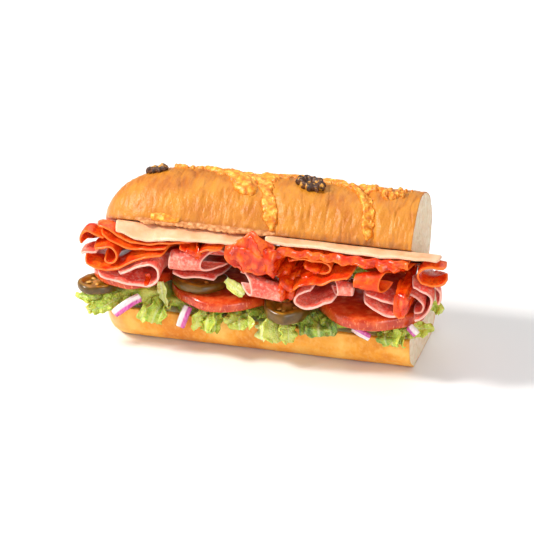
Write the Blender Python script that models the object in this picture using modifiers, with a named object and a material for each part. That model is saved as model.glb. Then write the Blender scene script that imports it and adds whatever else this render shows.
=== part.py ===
"""A half-length submarine sandwich: two bread halves hinged at the back, open in front over folded slices.

Lengths are millimetres in the tables and metres in the meshes. +X runs along the loaf to its cut end,
-Y is the open side and +Z is up, with the flat base of the lower bread on z = 0.
"""
import bisect
import math

import bmesh
import bpy
from mathutils import Vector

MM = 0.001
SHIFT_X = -3.41  # moves the middle of the whole sandwich onto the origin
SHIFT_Y = 5.34

# bread
LEFT = -79.0  # rounded tip of the loaf
RIGHT = 76.0  # cut end of the loaf
HALF_WIDTH = 30.0
DOME = 29.6
TILT = math.radians(28)  # how far the upper half is opened
CUT_FRONT = 65.2  # height of the upper half's cut edge at the front
FRONT = -30.0
SLANT = math.radians(3)  # the cut end isn't quite square
ROUNDNESS = 2.4
CUT_MIDDLE = 13.0  # how far the middle of the upper half's cut end lies over its cut face
CRUST_LENGTH = 165.0  # millimetres along the crust for a share of 1
CRUST_RADIUS = 29.0  # millimetres over the dome for one radian
BREAD_AROUND = 26  # points round each half
DOME_SHARE = 18 / BREAD_AROUND  # share of those that lie on the crust, the rest being on the cut face
BASE_TOP = 18.6  # cut face of the lower half
BASE_HALF = 29.9
BASE_DEEP = 21.5  # depth of the lower half's oval, which the flat base cuts off
BASE_ROUNDNESS = 2.5
BASE_MIDDLE = -0.75
BASE_BACK = 28.5
SCORES = ((0.42, -14.0, 23.0), (0.75, 37.0, 20.0))  # share of the length, x on the crown, run to the front
SCORE_DEPTH = 2.0
SCORE_WIDTH = 3.4

# filling
VEG_TOP = 32.5
CHEESE_BOTTOM = 62.65
STACK_TOP = 64.75
FRONT_DROOP = 5.0
DROOP_SHARE = ((18.6, 0.0), (45.0, 0.57), (50.0, 0.55), (56.0, 0.46), (64.75, 0.3))
OVERHANG_FROM = 77.0  # slices that reach past this narrow towards the back
PEPPERONI = 1.0
SALAMI = 1.1
PROVOLONE = 1.5
BACK_SLICE = 2.2  # slices near the hinge side, before they are pressed flat
GAP = 0.35

YC = FRONT + HALF_WIDTH * math.cos(TILT)
ZC = CUT_FRONT - HALF_WIDTH * math.sin(TILT)


def clamp(v, low=0.0, high=1.0):
    return max(low, min(high, v))


def lerp(a, b, t):
    return a + (b - a) * t


def along(table, v):
    """Straight-line reading of a table of (place, value) pairs."""
    if v <= table[0][0]:
        return table[0][1]
    if v >= table[-1][0]:
        return table[-1][1]
    i = bisect.bisect_right([row[0] for row in table], v)
    (a, p), (b, q) = table[i - 1], table[i]
    return lerp(p, q, (v - a) / (b - a))


def smooth_line(points, t):
    """A Catmull-Rom curve through the points, read at t from 0 to 1 by length."""
    lengths = [0.0]
    for a, b in zip(points, points[1:]):
        lengths.append(lengths[-1] + math.dist(a, b))
    want = clamp(t) * lengths[-1]
    i = min(max(bisect.bisect_right(lengths, want) - 1, 0), len(points) - 2)
    u = (want - lengths[i]) / (lengths[i + 1] - lengths[i])
    p1, p2 = points[i], points[i + 1]
    p0 = points[i - 1] if i else [2 * a - b for a, b in zip(p1, p2)]
    p3 = points[i + 2] if i + 2 < len(points) else [2 * b - a for a, b in zip(p1, p2)]
    return tuple(
        0.5 * (2 * b + (c - a) * u + (2 * a - 5 * b + 4 * c - d) * u * u + (3 * b - a - 3 * c + d) * u ** 3)
        for a, b, c, d in zip(p0, p1, p2, p3)
    )


# frames of the bread

def tip(x, reach, power):
    """1 along the loaf, falling to 0 at its rounded tip."""
    t = clamp((x - LEFT) / reach)
    return (1 - (1 - t) ** power) ** (1 / power)


def upper_cut(y):
    """Height of the upper half's cut face."""
    return CUT_FRONT - (y - FRONT) * math.tan(TILT)


def score_x(k, phi):
    _, crown, run = SCORES[k]
    c = math.cos(phi)
    return crown + run * math.copysign(abs(c) ** 0.8, c)


def upper_x(s, phi, q):
    end = RIGHT - (q + HALF_WIDTH) * math.tan(SLANT)
    return along(((0, LEFT), (SCORES[0][0], score_x(0, phi)), (SCORES[1][0], score_x(1, phi)), (1, end)), s)


def dome(phi):
    c, w = math.cos(phi), math.sin(phi)
    rho = (abs(c) ** ROUNDNESS + abs(w) ** ROUNDNESS) ** (-1 / ROUNDNESS)
    return -HALF_WIDTH * c * rho, DOME * w * rho


def upper_raw(s, phi):
    q, r = dome(phi)
    x = upper_x(s, phi, q)
    q *= tip(x, 30, 2.3)
    r *= tip(x, 44, 2.1)
    return x, YC + q * math.cos(TILT) + r * math.sin(TILT), ZC - q * math.sin(TILT) + r * math.cos(TILT)


def upper_bread(s, phi, lift=0.0):
    """A point of the upper crust: s from tip to cut end, phi from the front cut edge over to the back one."""
    e = 0.004
    p = Vector(upper_raw(s, phi))
    ds = Vector(upper_raw(min(s + e, 1), phi)) - Vector(upper_raw(max(s - e, 0), phi))
    dp = Vector(upper_raw(s, min(phi + e, math.pi))) - Vector(upper_raw(s, max(phi - e, 0)))
    n = dp.cross(ds)
    n = n.normalized() if n.length > 1e-9 else Vector((-1, 0, 0))
    if n.dot(p - Vector((p.x, YC, ZC))) < 0:
        n = -n
    groove = sum(math.exp(-(((s - k[0]) * (RIGHT - LEFT) / SCORE_WIDTH) ** 2)) for k in SCORES)
    p += n * (lift - SCORE_DEPTH * groove * clamp(s / 0.05))
    return p


def upper_section(s, turn, lift=0.0):
    """turn from 0 to 1 right round the upper half: over the dome, then back along the cut face."""
    if turn <= DOME_SHARE:
        return upper_bread(s, math.pi * turn / DOME_SHARE, lift)
    a, b = upper_bread(s, math.pi, lift), upper_bread(s, 0, lift)
    return a.lerp(b, (turn - DOME_SHARE) / (1 - DOME_SHARE))


def lower_section(s, turn):
    """The lower half: down its front, under its flat base, up the back and over the cut face."""
    x = lerp(LEFT + 1, RIGHT, s)
    t = clamp((x - LEFT - 1) / 18)
    wide = (1 - (1 - t) ** 2.6) ** (1 / 2.6)
    deep = 0.5 + 0.5 * (1 - (1 - clamp(t * 1.6)) ** 2) ** 0.5
    if turn > DOME_SHARE:
        y = lerp(BASE_BACK, FRONT, (turn - DOME_SHARE) / (1 - DOME_SHARE))
        return Vector((x, BASE_MIDDLE + (y - BASE_MIDDLE) * wide, BASE_TOP))
    phi = math.pi * turn / DOME_SHARE
    c, w = math.cos(phi), math.sin(phi)
    rho = (abs(c) ** BASE_ROUNDNESS + abs(w) ** BASE_ROUNDNESS) ** (-1 / BASE_ROUNDNESS)
    z = BASE_TOP - BASE_DEEP * w * rho * deep
    return Vector((x, BASE_MIDDLE - BASE_HALF * c * rho * wide * lerp(1, 1.03, w), max(0, z)))


def settle(p):
    """Takes a point of the loose stack to where it lies under the upper half and over the front edge."""
    x, y, z = p
    if z <= BASE_TOP:
        return Vector(p)
    inner = clamp(x, -OVERHANG_FROM, OVERHANG_FROM)
    x = inner + (x - inner) * lerp(1, 0.3, clamp((y + 34) / 34))
    if y <= FRONT:
        return Vector((x, y, z - FRONT_DROOP * ((FRONT - y) / 11) ** 1.5 * along(DROOP_SHARE, z)))
    top = upper_cut(y) - (CUT_FRONT - STACK_TOP)
    meat_top = top - (STACK_TOP - CHEESE_BOTTOM)
    veg_top = BASE_TOP + (VEG_TOP - BASE_TOP) * lerp(1, 0.72, clamp((y - FRONT) / 40))
    levels = ((BASE_TOP, BASE_TOP), (VEG_TOP, veg_top), (CHEESE_BOTTOM, meat_top), (STACK_TOP, top))
    return Vector((x, y, along(levels, z) if z < STACK_TOP else top + z - STACK_TOP))


# the fold lines of the slices, seen from the front: x and height in the loose stack

PEPPERONI_FOLDS = {
    "pepperoni_middle_flat": (-36, 12, [(-8.0, 51.2), (-2.0, 51.8), (5.0, 51.4), (12.0, 51.9)]),
    "pepperoni_left_top": (-37, 12, [
        (-77.0, 61.8), (-72.9, 63.5), (-68.2, 62.3), (-62.9, 59.6), (-55.9, 57.7), (-47.4, 57.7),
        (-39.8, 59.0), (-32.0, 60.0), (-26.0, 60.3)]),
    "pepperoni_left_second": (-38, 8, [
        (-74.2, 60.9), (-71.1, 60.0), (-67.1, 57.7), (-61.1, 55.5), (-54.6, 55.2), (-47.1, 55.7),
        (-38.5, 57.0)]),
    "pepperoni_left_bulge": (-37, 2, [
        (-70.5, 57.5), (-75.4, 59.0), (-79.3, 60.8), (-82.2, 59.1), (-83.2, 55.7), (-82.2, 52.6)]),
    "pepperoni_left_roll": (-39.5, 0, [
        (-76.8, 53.1), (-72.3, 54.8), (-68.8, 55.8), (-66.1, 54.9), (-64.5, 52.2), (-64.8, 49.4),
        (-67.0, 47.6), (-69.8, 48.1), (-71.1, 50.3)]),
    "pepperoni_left_low": (-40, 14, [
        (-82.0, 48.0), (-79.6, 45.9), (-74.6, 44.9), (-69.1, 44.5), (-64.3, 45.4), (-60.1, 48.3),
        (-53.0, 52.1), (-46.0, 53.6), (-39.8, 54.3)]),
    "pepperoni_middle_left": (-39, 12, [
        (-35.3, 58.2), (-30.3, 57.4), (-25.8, 56.0), (-23.3, 57.8), (-20.3, 59.2), (-16.3, 59.7),
        (-11.8, 60.1)]),
    "pepperoni_middle_loop": (-38, 4, [
        (17.5, 56.5), (24.0, 58.7), (30.0, 59.2), (34.7, 59.1), (38.2, 58.2), (39.5, 56.6), (38.4, 54.5),
        (34.9, 53.4), (30.0, 54.5), (25.0, 55.8)]),
    "pepperoni_middle_sheet": (-42, 12, [
        (14.6, 50.6), (18.0, 47.8), (21.7, 46.6), (25.7, 49.2), (31.7, 50.8), (36.7, 51.1), (41.2, 53.6),
        (46.5, 54.6), (51.0, 55.2)]),
    "pepperoni_right_second": (-36, 14, [
        (44.0, 58.2), (49.0, 58.6), (54.0, 58.8), (60.0, 58.6), (68.0, 58.9), (78.5, 58.6)]),
    "pepperoni_right_end": (-37, 6, [
        (95.0, 60.8), (89.5, 61.5), (84.5, 61.0), (81.6, 59.0), (81.0, 56.4), (82.7, 53.9), (87.3, 52.5),
        (92.0, 53.6), (95.5, 55.5)]),
    "pepperoni_back_left": (16.8, 25.5, [
        (-68.0, 56.5), (-60.0, 59.0), (-47.0, 58.5), (-42.0, 54.0), (-46.0, 49.0), (-58.0, 47.5),
        (-64.0, 43.0), (-59.0, 38.5), (-46.0, 38.0)]),
    "pepperoni_back_middle": (16.8, 25.0, [
        (-12.0, 58.0), (-2.0, 59.5), (10.0, 57.0), (14.0, 52.0), (8.0, 47.5), (-4.0, 46.5), (-9.0, 42.0),
        (-2.0, 38.0), (12.0, 38.5)]),
    "pepperoni_back_right": (16.8, 25.5, [
        (42.0, 57.0), (54.0, 59.5), (66.0, 58.0), (70.0, 53.0), (64.0, 48.0), (50.0, 47.5), (42.2, 43.0),
        (50.0, 38.5), (66.0, 38.0)]),
}
SALAMI_FOLDS = {
    "salami_middle_flat": (-34.5, 12, [(-40.0, 42.2), (-33.0, 41.0), (-25.0, 41.6), (-16.5, 40.9)]),
    "salami_left_tip": (-38, -14, [(-83.0, 49.6), (-79.0, 50.9), (-74.4, 51.2)]),
    "salami_left": (-41.5, 8, [
        (-76.5, 42.6), (-72.5, 41.3), (-67.7, 40.2), (-58.6, 39.3), (-49.1, 39.0), (-44.9, 41.4),
        (-43.2, 45.3), (-43.9, 49.2), (-47.1, 50.7), (-51.1, 50.0), (-56.6, 47.2), (-61.6, 44.3),
        (-66.5, 42.9)]),
    "salami_middle_low": (-41.5, 6, [
        (43.4, 42.9), (37.9, 41.0), (32.9, 38.1), (28.7, 36.7), (24.9, 37.6), (23.1, 40.3), (24.4, 43.6),
        (28.4, 46.2), (33.0, 47.5)]),
    "salami_right": (-40, 10, [
        (54.0, 46.2), (58.7, 46.2), (65.7, 44.7), (71.5, 43.0), (74.0, 40.2), (72.5, 37.4), (67.8, 36.5),
        (61.8, 38.8), (56.6, 42.0), (53.9, 43.6)]),
    "salami_right_end": (-38.5, 4, [
        (77.0, 52.5), (82.0, 51.1), (86.0, 49.7), (88.0, 46.9), (87.5, 43.0), (85.5, 39.0), (81.8, 35.2),
        (78.3, 33.8)]),
    "salami_right_inner": (-37, -4, [
        (75.6, 47.6), (79.5, 46.5), (83.0, 44.1), (83.9, 41.0), (82.2, 38.2), (78.2, 36.8)]),
    "salami_right_tip": (-35, -10, [(88.6, 50.6), (91.0, 48.3), (91.3, 44.5), (90.0, 41.0)]),
    "salami_back_left": (16.8, 24.5, [
        (-37.0, 58.5), (-28.0, 59.5), (-19.0, 57.0), (-17.0, 52.5), (-24.0, 48.5), (-35.0, 47.0),
        (-37.5, 42.5), (-30.0, 38.5), (-16.5, 39.0)]),
    "salami_back_right": (16.8, 24.5, [
        (19.0, 58.0), (28.0, 59.5), (36.5, 57.5), (39.0, 52.5), (33.0, 48.0), (21.0, 47.0), (17.5, 42.5),
        (24.0, 38.5), (39.0, 39.0)]),
}

# slices rolled about a line along the loaf: thickness, x of tip and mouth, height and radius at each,
# front y, depth and how far the mouth slopes
ROLLS = {
    "salami_middle_roll": (SALAMI, -39.5, -11.5, 49.2, 50.3, 3.6, 4.8, -37.4, 12, 12.0),
    "salami_middle_cone": (SALAMI, 17.5, -6.0, 42.4, 44.6, 3.0, 4.6, -43.0, 10, 8.5),
    "salami_middle_curl": (SALAMI, 51.0, 38.6, 47.8, 47.8, 1.5, 3.1, -41.0, 7, 5.0),
    "pepperoni_right_cone": (PEPPERONI, 51.0, 69.4, 51.8, 52.4, 1.9, 4.9, -40.5, 9, 6.0),
}

# slices hanging over the front: x range, taper, height of hem and of crest along x, (y, z) inside the
# stack, and front y
FLAPS = {
    "pepperoni_peak": (
        -10.8, 12.8, 0.0, ((-10.8, 58.5), (-6, 53.5), (2, 51.8), (12.8, 52.4)),
        ((-10.8, 62.8), (-6, 64.2), (-3, 66.8), (0, 70.0), (2.6, 71.4), (6, 69.5), (10, 66.0),
         (12.8, 64.2)),
        ((6, 55.4), (-30, 55.4)), -39.6),
    "pepperoni_right_top": (
        13.4, 76.5, 0.0,
        ((13.4, 59.4), (22, 60.3), (36, 60.8), (42, 59.6), (54, 60.0), (66, 59.4), (76.5, 60.2)),
        ((13.4, 63.0), (76.5, 63.0)), ((16, 61.2), (-28, 61.3)), -37.6),
    "pepperoni_right_flap": (
        70.2, 79.0, 0.4, ((70, 41.5), (74, 38.2), (79, 40.5)),
        ((70, 50.1), (79, 50.1)), ((-6, 49.6), (-30, 49.6)), -42.4),
}

# cheese slices: x range, front and back y, and the droop of the front edge along x
CHEESE = {
    "provolone_left": (-68.0, 2.4, -37.4, 20, (
        (-68, 0.6), (-62, 2.0), (-56, 4.0), (-47, 4.2), (-40, 2.9), (-32, 1.9), (-25, 1.7), (-18, 1.9),
        (-3, 1.2))),
    "provolone_right": (4.6, 93.0, -37.0, 20, (
        (12, -0.9), (35, -1.1), (42, -0.6), (50, -0.9), (60, -0.5), (72, -0.8), (84, -1.0), (93, -0.2))),
}

# round slices: centre x and y, radius, bottom and top
TOMATOES = {
    "tomato_left": (-62.5, -16.5, 20, 32.1, 36.9),
    "tomato_middle": (-17.5, -13, 26, 26.4, 31.6),
    "tomato_right": (56, -12, 28, 26.2, 32.8),
}
JALAPENOS = {
    "jalapeno_left": (-77.5, -28, 10.0, 27.2, 31.6),
    "jalapeno_middle": (-28, -21.5, 13.5, 32.2, 36.8),
    "jalapeno_right": (17, -31, 11.4, 25.6, 32.6),
}

# strips with a flat oblong section: middle line, width and thickness
ONIONS = {
    "onion_left": (
        [(-54.5, -33.0, 26.8), (-58.5, -34.9, 24.8), (-63, -35.8, 21.4), (-67.5, -35.4, 17.2)], 4.4, 2.0),
    "onion_middle": ([(-31.2, -32.4, 24.6), (-32.6, -35.4, 20.5), (-34.8, -34.8, 14.2)], 4.2, 2.0),
    "onion_right": ([(49.2, -33.4, 23.7), (53.0, -36.2, 23.4), (58.5, -36.4, 20.8)], 3.6, 2.0),
    "onion_end": ([(76.5, -34.0, 28.2), (80.5, -34.6, 24.4)], 3.8, 2.2),
}

# leaf strips of the salad bed: middle line and width
LEAVES = (
    ([(-70, -24, 21.8), (-74, -30, 22.4), (-79.5, -33, 23.4), (-85, -33.5, 24.0)], 5),
    ([(-66, -23, 21.5), (-70, -31, 22.0), (-74, -35, 20.5), (-78, -36.5, 18.2)], 7),
    ([(-45, -24, 21.8), (-46, -31.5, 21.8), (-47, -35.5, 19.5), (-48.5, -36, 15.2)], 9),
    ([(-42.5, -25, 22.5), (-43, -31, 23.4), (-43.5, -33.8, 29.5), (-44.6, -33.0, 36.2)], 6),
    ([(-20, -24, 21.6), (-20.5, -31.5, 21.6), (-21, -35.5, 19.0), (-21.5, -36, 14.0)], 10),
    ([(-6, -24, 21.6), (-6, -31.5, 21.6), (-5.5, -35.0, 20.0), (-5, -35.6, 16.8)], 9),
    ([(12, -24, 21.6), (12.5, -31.5, 21.6), (13, -35.8, 19.0), (13.5, -36.5, 13.2)], 12),
    ([(32, -24, 21.6), (32.5, -31.5, 22.4), (33.5, -36.5, 22.4), (34.5, -38.3, 19.4)], 12),
    ([(66, -24, 21.6), (67.5, -31.5, 21.6), (69, -35.5, 20.2), (70, -36, 17.6)], 10),
    ([(70, -20, 22.0), (75, -25, 23.0), (80, -29, 25.0), (84.5, -30, 26.0)], 8),
    ([(-48, 18, 21.4), (-49, 25, 21.8), (-50, 31.0, 20.8), (-51, 32.5, 17.5)], 9),
    ([(-8, 18, 21.4), (-8, 25, 21.8), (-7, 31.0, 21.2), (-6, 32.5, 18.5)], 9),
    ([(34, 18, 21.4), (35, 25, 21.8), (36, 31.0, 20.6), (37, 32.5, 17.0)], 9),
    ([(70, 2, 21.8), (75, 4, 22.2), (79, 5, 21.0), (80.5, 6, 17.5)], 8),
    ([(-68, 2, 21.8), (-74, 3, 22.4), (-80, 4, 21.8), (-84, 5, 19.5)], 9),
)
# height of the bed along x, and the pale leaf rib that stands over it
BED_TOP = ((-76, 25.6), (-67, 26.4), (-62, 30.8), (-47, 30.8), (-43, 25.6), (76, 25.4))
RIB = ([(-12.5, -33, 41.0), (-8, -34, 38.0), (-3, -34.5, 35.2)], 5.6, 2.2)

# baked cheese on the crust: height, then share of the length, degrees over the dome and half width
BAKED = (
    (2.0, ((0.185, 74, 2.6), (0.22, 72, 4.6), (0.27, 74, 4.5), (0.33, 68, 7), (0.38, 62, 8), (0.46, 70, 6),
           (0.50, 78, 4), (0.56, 90, 4), (0.63, 84, 4.5), (0.68, 70, 5), (0.74, 66, 5), (0.82, 68, 6),
           (0.89, 68, 5), (0.95, 70, 3))),
    (2.4, ((0.41, 62, 5), (0.417, 48, 4.0), (0.417, 32, 3.6), (0.416, 16, 3.2), (0.416, 5, 2.2))),
    (3.2, ((0.375, 58, 5.0), (0.362, 47, 5.0), (0.358, 38, 3.2))),
    (2.3, ((0.722, 66, 4.5), (0.732, 52, 4.0), (0.742, 36, 3.8), (0.738, 20, 3.6), (0.732, 6, 2.4))),
    (1.8, ((0.81, 64, 3), (0.84, 54, 4), (0.89, 56, 3.5), (0.92, 62, 2.5))),
    (2.0, ((0.42, 78, 5), (0.42, 100, 4.5), (0.42, 124, 4), (0.42, 148, 3), (0.42, 166, 2))),
    (2.0, ((0.75, 72, 5), (0.75, 96, 4.5), (0.75, 122, 4), (0.75, 146, 3), (0.75, 164, 2))),
)
BAKED_RIM = (2.2, ((0.14, 5.5, 1.7), (0.16, 5.5, 2.3), (0.185, 5, 2.3), (0.207, 5, 1.6)))
# toasted pepper: share of the length, degrees over the dome, half length, half width and height
TOASTED = {
    "toasted_jalapeno_crown": (0.566, 55, 7.4, 4.6, 3.4),
    "toasted_jalapeno_tip": (0.136, 63, 4.2, 3.4, 2.4),
}


# making objects

for old in list(bpy.data.objects):
    bpy.data.objects.remove(old)

sandwich = bpy.data.collections.new("Submarine_Sandwich")
cutters = bpy.data.collections.new("Cutters")
bpy.context.scene.collection.children.link(sandwich)
bpy.context.scene.collection.children.link(cutters)


def material(name, colour, roughness):
    made = bpy.data.materials.new(name)
    made.use_nodes = True
    shader = made.node_tree.nodes["Principled BSDF"]
    shader.inputs["Base Color"].default_value = (*colour, 1)
    shader.inputs["Roughness"].default_value = roughness
    return made


def from_bmesh(name, bm):
    mesh = bpy.data.meshes.new(name)
    bm.to_mesh(mesh)
    bm.free()
    obj = bpy.data.objects.new(name, mesh)
    sandwich.objects.link(obj)
    return obj


def baked(obj):
    """The object's mesh with its modifiers applied, as the object's own."""
    graph = bpy.context.evaluated_depsgraph_get()
    graph.update()
    mesh = bpy.data.meshes.new_from_object(obj.evaluated_get(graph))
    obj.modifiers.clear()
    obj.data = mesh
    return obj


def fix_normals(obj):
    bm = bmesh.new()
    bm.from_mesh(obj.data)
    bmesh.ops.recalc_face_normals(bm, faces=bm.faces)
    bm.to_mesh(obj.data)
    bm.free()
    return obj


def loft(name, stations, around, place):
    """A ball with its poles at the end stations, each vertex put where place(station, turn, pole) says."""
    bm = bmesh.new()
    rings = len(stations) - 1
    bmesh.ops.create_uvsphere(bm, u_segments=around, v_segments=rings, radius=1.0)
    for v in bm.verts:
        polar = math.acos(clamp(v.co.z, -1, 1)) / math.pi
        i = round(polar * rings)
        turn = (math.atan2(v.co.y, v.co.x) / (2 * math.pi)) % 1.0
        turn = round(turn * around) / around % 1.0
        v.co = Vector(place(stations[i], turn, i in (0, rings))) * MM
    bm.normal_update()
    bmesh.ops.recalc_face_normals(bm, faces=bm.faces)
    return from_bmesh(name, bm)


def sheet(name, across, deep, place, thickness, after=settle):
    """A grid laid where place(a, b) says, thickened, then put through after()."""
    bm = bmesh.new()
    bmesh.ops.create_grid(bm, x_segments=across, y_segments=deep, size=1.0)
    for v in bm.verts:
        v.co = Vector(place(v.co.x, v.co.y))
    obj = from_bmesh(name, bm)
    thick = obj.modifiers.new("Solidify", "SOLIDIFY")
    thick.thickness = thickness
    thick.offset = 0
    baked(obj)
    for v in obj.data.vertices:
        v.co = (after(v.co) if after else v.co) * MM
    return fix_normals(obj)


def disc(a, b, corner=0.14):
    """A square grid with its corners drawn in."""
    return a * (1 - corner * b * b), b * (1 - corner * a * a)


def fold(name, front, back, line, thickness, across):
    def place(a, b):
        a, b = disc(a, b)
        x, z = smooth_line(line, (a + 1) / 2)
        t = ((b + 1) / 2) ** 1.6
        return x, lerp(front, back, t), z

    return sheet(name, across, 4, place, thickness)


def roll(name, thickness, tip_x, mouth_x, tip_z, mouth_z, tip_r, mouth_r, front, depth, slope):
    def place(a, b):
        a, b = disc(a, b, 0.04)
        t = (b + 1) / 2
        theta = math.radians(lerp(-150, 160, (a + 1) / 2))
        near = (1 + math.cos(theta)) / 2
        x = lerp(tip_x, mouth_x, t) - math.copysign(slope * near * t, mouth_x - tip_x)
        radius = lerp(tip_r, mouth_r, t)
        y = front + depth * (1 - near) * lerp(0.7, 1, t)
        return x, y, lerp(tip_z, mouth_z, t) + radius * math.sin(theta)

    return sheet(name, 11, 3, place, thickness)


def flap_point(a, b, x0, x1, taper, hem, crest, inside, front):
    """A slice that comes out from the stack, rises to its crest and hangs down the front."""
    x = lerp(x0, x1, (a + 1) / 2)
    top, low, base = along(crest, x), along(hem, x), inside[1][1]
    rise = [(front + 3.2, lerp(base, top, 0.06)), (front + 1.5, lerp(base, top, 0.6)), (front + 0.4, top)]
    fall = [(front - 0.6, lerp(low, top, 0.6)), (front - 1.2, low)]
    t = (b + 1) / 2
    y, z = smooth_line([*inside, *rise, *fall], t)
    return lerp(x, (x0 + x1) / 2, taper * t * t), y, z


def flap(name, *shape):
    across = 5 + round((shape[1] - shape[0]) / 8)
    return sheet(name, across, 9, lambda a, b: flap_point(a, b, *shape), PEPPERONI)


def provolone(name, x0, x1, front, back, droop):
    def place(a, b):
        a, b = disc(a, b, 0.08)
        x = lerp(x0, x1, (a + 1) / 2)
        y = lerp(front, back, ((b + 1) / 2) ** 1.4)
        out = clamp((-28 - y) / 9)
        return x, y, (CHEESE_BOTTOM + STACK_TOP) / 2 - along(droop, x) * out ** 1.3 + 0.1

    return sheet(name, 13, 5, place, PROVOLONE)


def round_slice(name, cx, cy, radius, z0, z1, profile, around=22):
    def place(station, turn, pole):
        share, level = station
        angle = 2 * math.pi * turn
        r = 0 if pole else radius * share
        return settle((cx + r * math.cos(angle), cy + r * math.sin(angle), lerp(z0, z1, level)))

    return loft(name, profile, around, place)


def strip(name, line, width, thickness, across=8, steps=7):
    def place(t, turn, pole):
        p = Vector(smooth_line(line, t))
        d = Vector(smooth_line(line, min(t + 0.02, 1))) - Vector(smooth_line(line, max(t - 0.02, 0)))
        out = Vector((0, -1, 0))
        side = d.cross(out).normalized()
        out = side.cross(d).normalized()
        angle = 2 * math.pi * turn
        c, w = math.cos(angle), math.sin(angle)
        rho = 0 if pole else (c ** 4 + w ** 4) ** -0.25
        return p + side * (width / 2 * c * rho) + out * (thickness / 2 * w * rho)

    stations = [0] + [i / (steps - 3) for i in range(steps - 2)] + [1]
    return loft(name, stations, across, place)


def leaf(name, line, width, thickness=1.1):
    def place(a, b):
        t = (b + 1) / 2
        x, y, z = smooth_line(line, t)
        wave = math.sin(2.6 * a + 3.1 * t + width) * 1.3 * t
        taper = lerp(1, 0.72, t * t)
        return x + a * width / 2 * taper, y - wave * 0.7, z + wave * 0.5 - 1.2 * t * abs(a)

    return sheet(name, 2, 4, place, thickness, None)


def over_crust(s, phi, ds, dphi, lift):
    """The crust point that lies ds along and dphi round from (s, phi), both in millimetres."""
    around = clamp(math.radians(phi) + dphi / CRUST_RADIUS, 0.012, 3.12)
    return upper_bread(clamp(s + ds / CRUST_LENGTH, 0.002, 1), around, lift)


def ribbon(name, height, line, steps, low=0.55):
    """A flattened strip of baked cheese lying along a line over the crust."""
    def place(t, turn, pole):
        s, phi, half = smooth_line(line, t)
        u0, v0, _ = smooth_line(line, max(t - 0.03, 0))
        u1, v1, _ = smooth_line(line, min(t + 0.03, 1))
        along_x, along_y = (u1 - u0) * CRUST_LENGTH, math.radians(v1 - v0) * CRUST_RADIUS
        size = math.hypot(along_x, along_y)
        nx, ny = -along_y / size, along_x / size
        if pole:
            side, up = 0, 0.25
        else:
            angle = 2 * math.pi * turn
            side, up = half * math.cos(angle), max(0, math.sin(angle))
        return over_crust(s, phi, nx * side, ny * side, low + height * up)

    stations = [0] + [i / (steps - 3) for i in range(steps - 2)] + [1]
    return loft(name, stations, 6, place)


def toasted(name, s, phi, long, wide, height):
    """A fluted slice of pepper baked onto the crust."""
    def place(station, turn, pole):
        share, level = station
        angle = 2 * math.pi * turn
        r = 0 if pole else share * (1 + 0.09 * math.cos(10 * angle) * (share > 0.5))
        u, v = long * r * math.cos(angle), wide * r * math.sin(angle)
        return over_crust(s, phi, u, v, 0.4 + height * level)

    return loft(name, TOASTED_SIDE, 20, place)


def bed(name):
    """The heap of shredded salad under everything else."""
    def place(x, turn, pole):
        top = along(BED_TOP, x)
        angle = 2 * math.pi * turn
        c, w = math.cos(angle), math.sin(angle)
        rho = 0 if pole else (abs(c) ** 5 + abs(w) ** 5) ** -0.2
        reach = 25 + 1.3 * math.sin(x / 5.0)
        y = -3.5 + reach * c * rho * (0.8 if abs(x) > 74 else 1)
        z = lerp(19.0, top, (1 + w * rho) / 2)
        return settle((x, y, z))

    stations = [-76, -76, -71, -67, -62, -54.5, -47, -43, -30, -16, -2, 12, 26, 40, 54, 66, 75, 75]
    return loft(name, stations, 12, place)


TOASTED_SIDE = ((1, 0), (0.8, 0), (1.0, 0.3), (1.0, 0.85), (0.75, 1.0), (0.45, 0.35), (1, 0.3))
TOMATO_SIDE = ((1, 0), (0.93, 0.0), (1.0, 0.16), (1.0, 0.84), (0.95, 1.0), (1, 1))
PEPPER_SIDE = ((1, 0), (0.86, 0), (0.98, 0.18), (1.0, 0.8), (0.92, 1.0), (0.55, 0.8), (1, 0.78))

crust = material("Crust", (0.78, 0.38, 0.11), 0.6)
crumb = material("Lower Bread", (0.85, 0.55, 0.25), 0.65)
baked_cheese = material("Baked Cheese", (0.9, 0.52, 0.1), 0.55)
cheese = material("Provolone", (0.93, 0.78, 0.55), 0.4)
pepperoni = material("Pepperoni", (0.78, 0.12, 0.03), 0.35)
salami = material("Salami", (0.78, 0.25, 0.2), 0.35)
tomato = material("Tomato", (0.75, 0.12, 0.04), 0.25)
pepper = material("Jalapeno", (0.23, 0.17, 0.02), 0.3)
toasted_pepper = material("Toasted Jalapeno", (0.07, 0.04, 0.01), 0.5)
onion = material("Red Onion", (0.5, 0.1, 0.35), 0.3)
lettuce = material("Lettuce", (0.4, 0.5, 0.1), 0.4)


def paint(obj, made):
    obj.data.materials.clear()
    obj.data.materials.append(made)
    return obj


def joined(obj, others, operation="UNION"):
    """The object with the others fused into it or cut from it; the others stay behind as hidden cutters."""
    for other in others:
        sandwich.objects.unlink(other)
        cutters.objects.link(other)
        other.hide_render = True
        other.display_type = "WIRE"
        fuse = obj.modifiers.new("Boolean", "BOOLEAN")
        fuse.operation = operation
        fuse.solver = "MANIFOLD"
        fuse.object = other
    return baked(obj) if others else obj


# bread

upper_stations = [
    0, 0.012, 0.03, 0.06, 0.10, 0.15, 0.21, 0.28, 0.35, 0.39, 0.405, 0.42, 0.435, 0.455, 0.50, 0.57, 0.65,
    0.715, 0.735, 0.75, 0.765, 0.785, 0.84, 0.92, 1.0, 1.0]


def place_upper(s, turn, pole, lift=0.0):
    if pole:
        if s == 0:
            return Vector((LEFT - lift, YC, ZC))
        end = RIGHT - HALF_WIDTH * math.tan(SLANT)
        return Vector((end, YC + CUT_MIDDLE * math.sin(TILT), ZC + CUT_MIDDLE * math.cos(TILT)))
    return upper_section(s, turn, lift)


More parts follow.
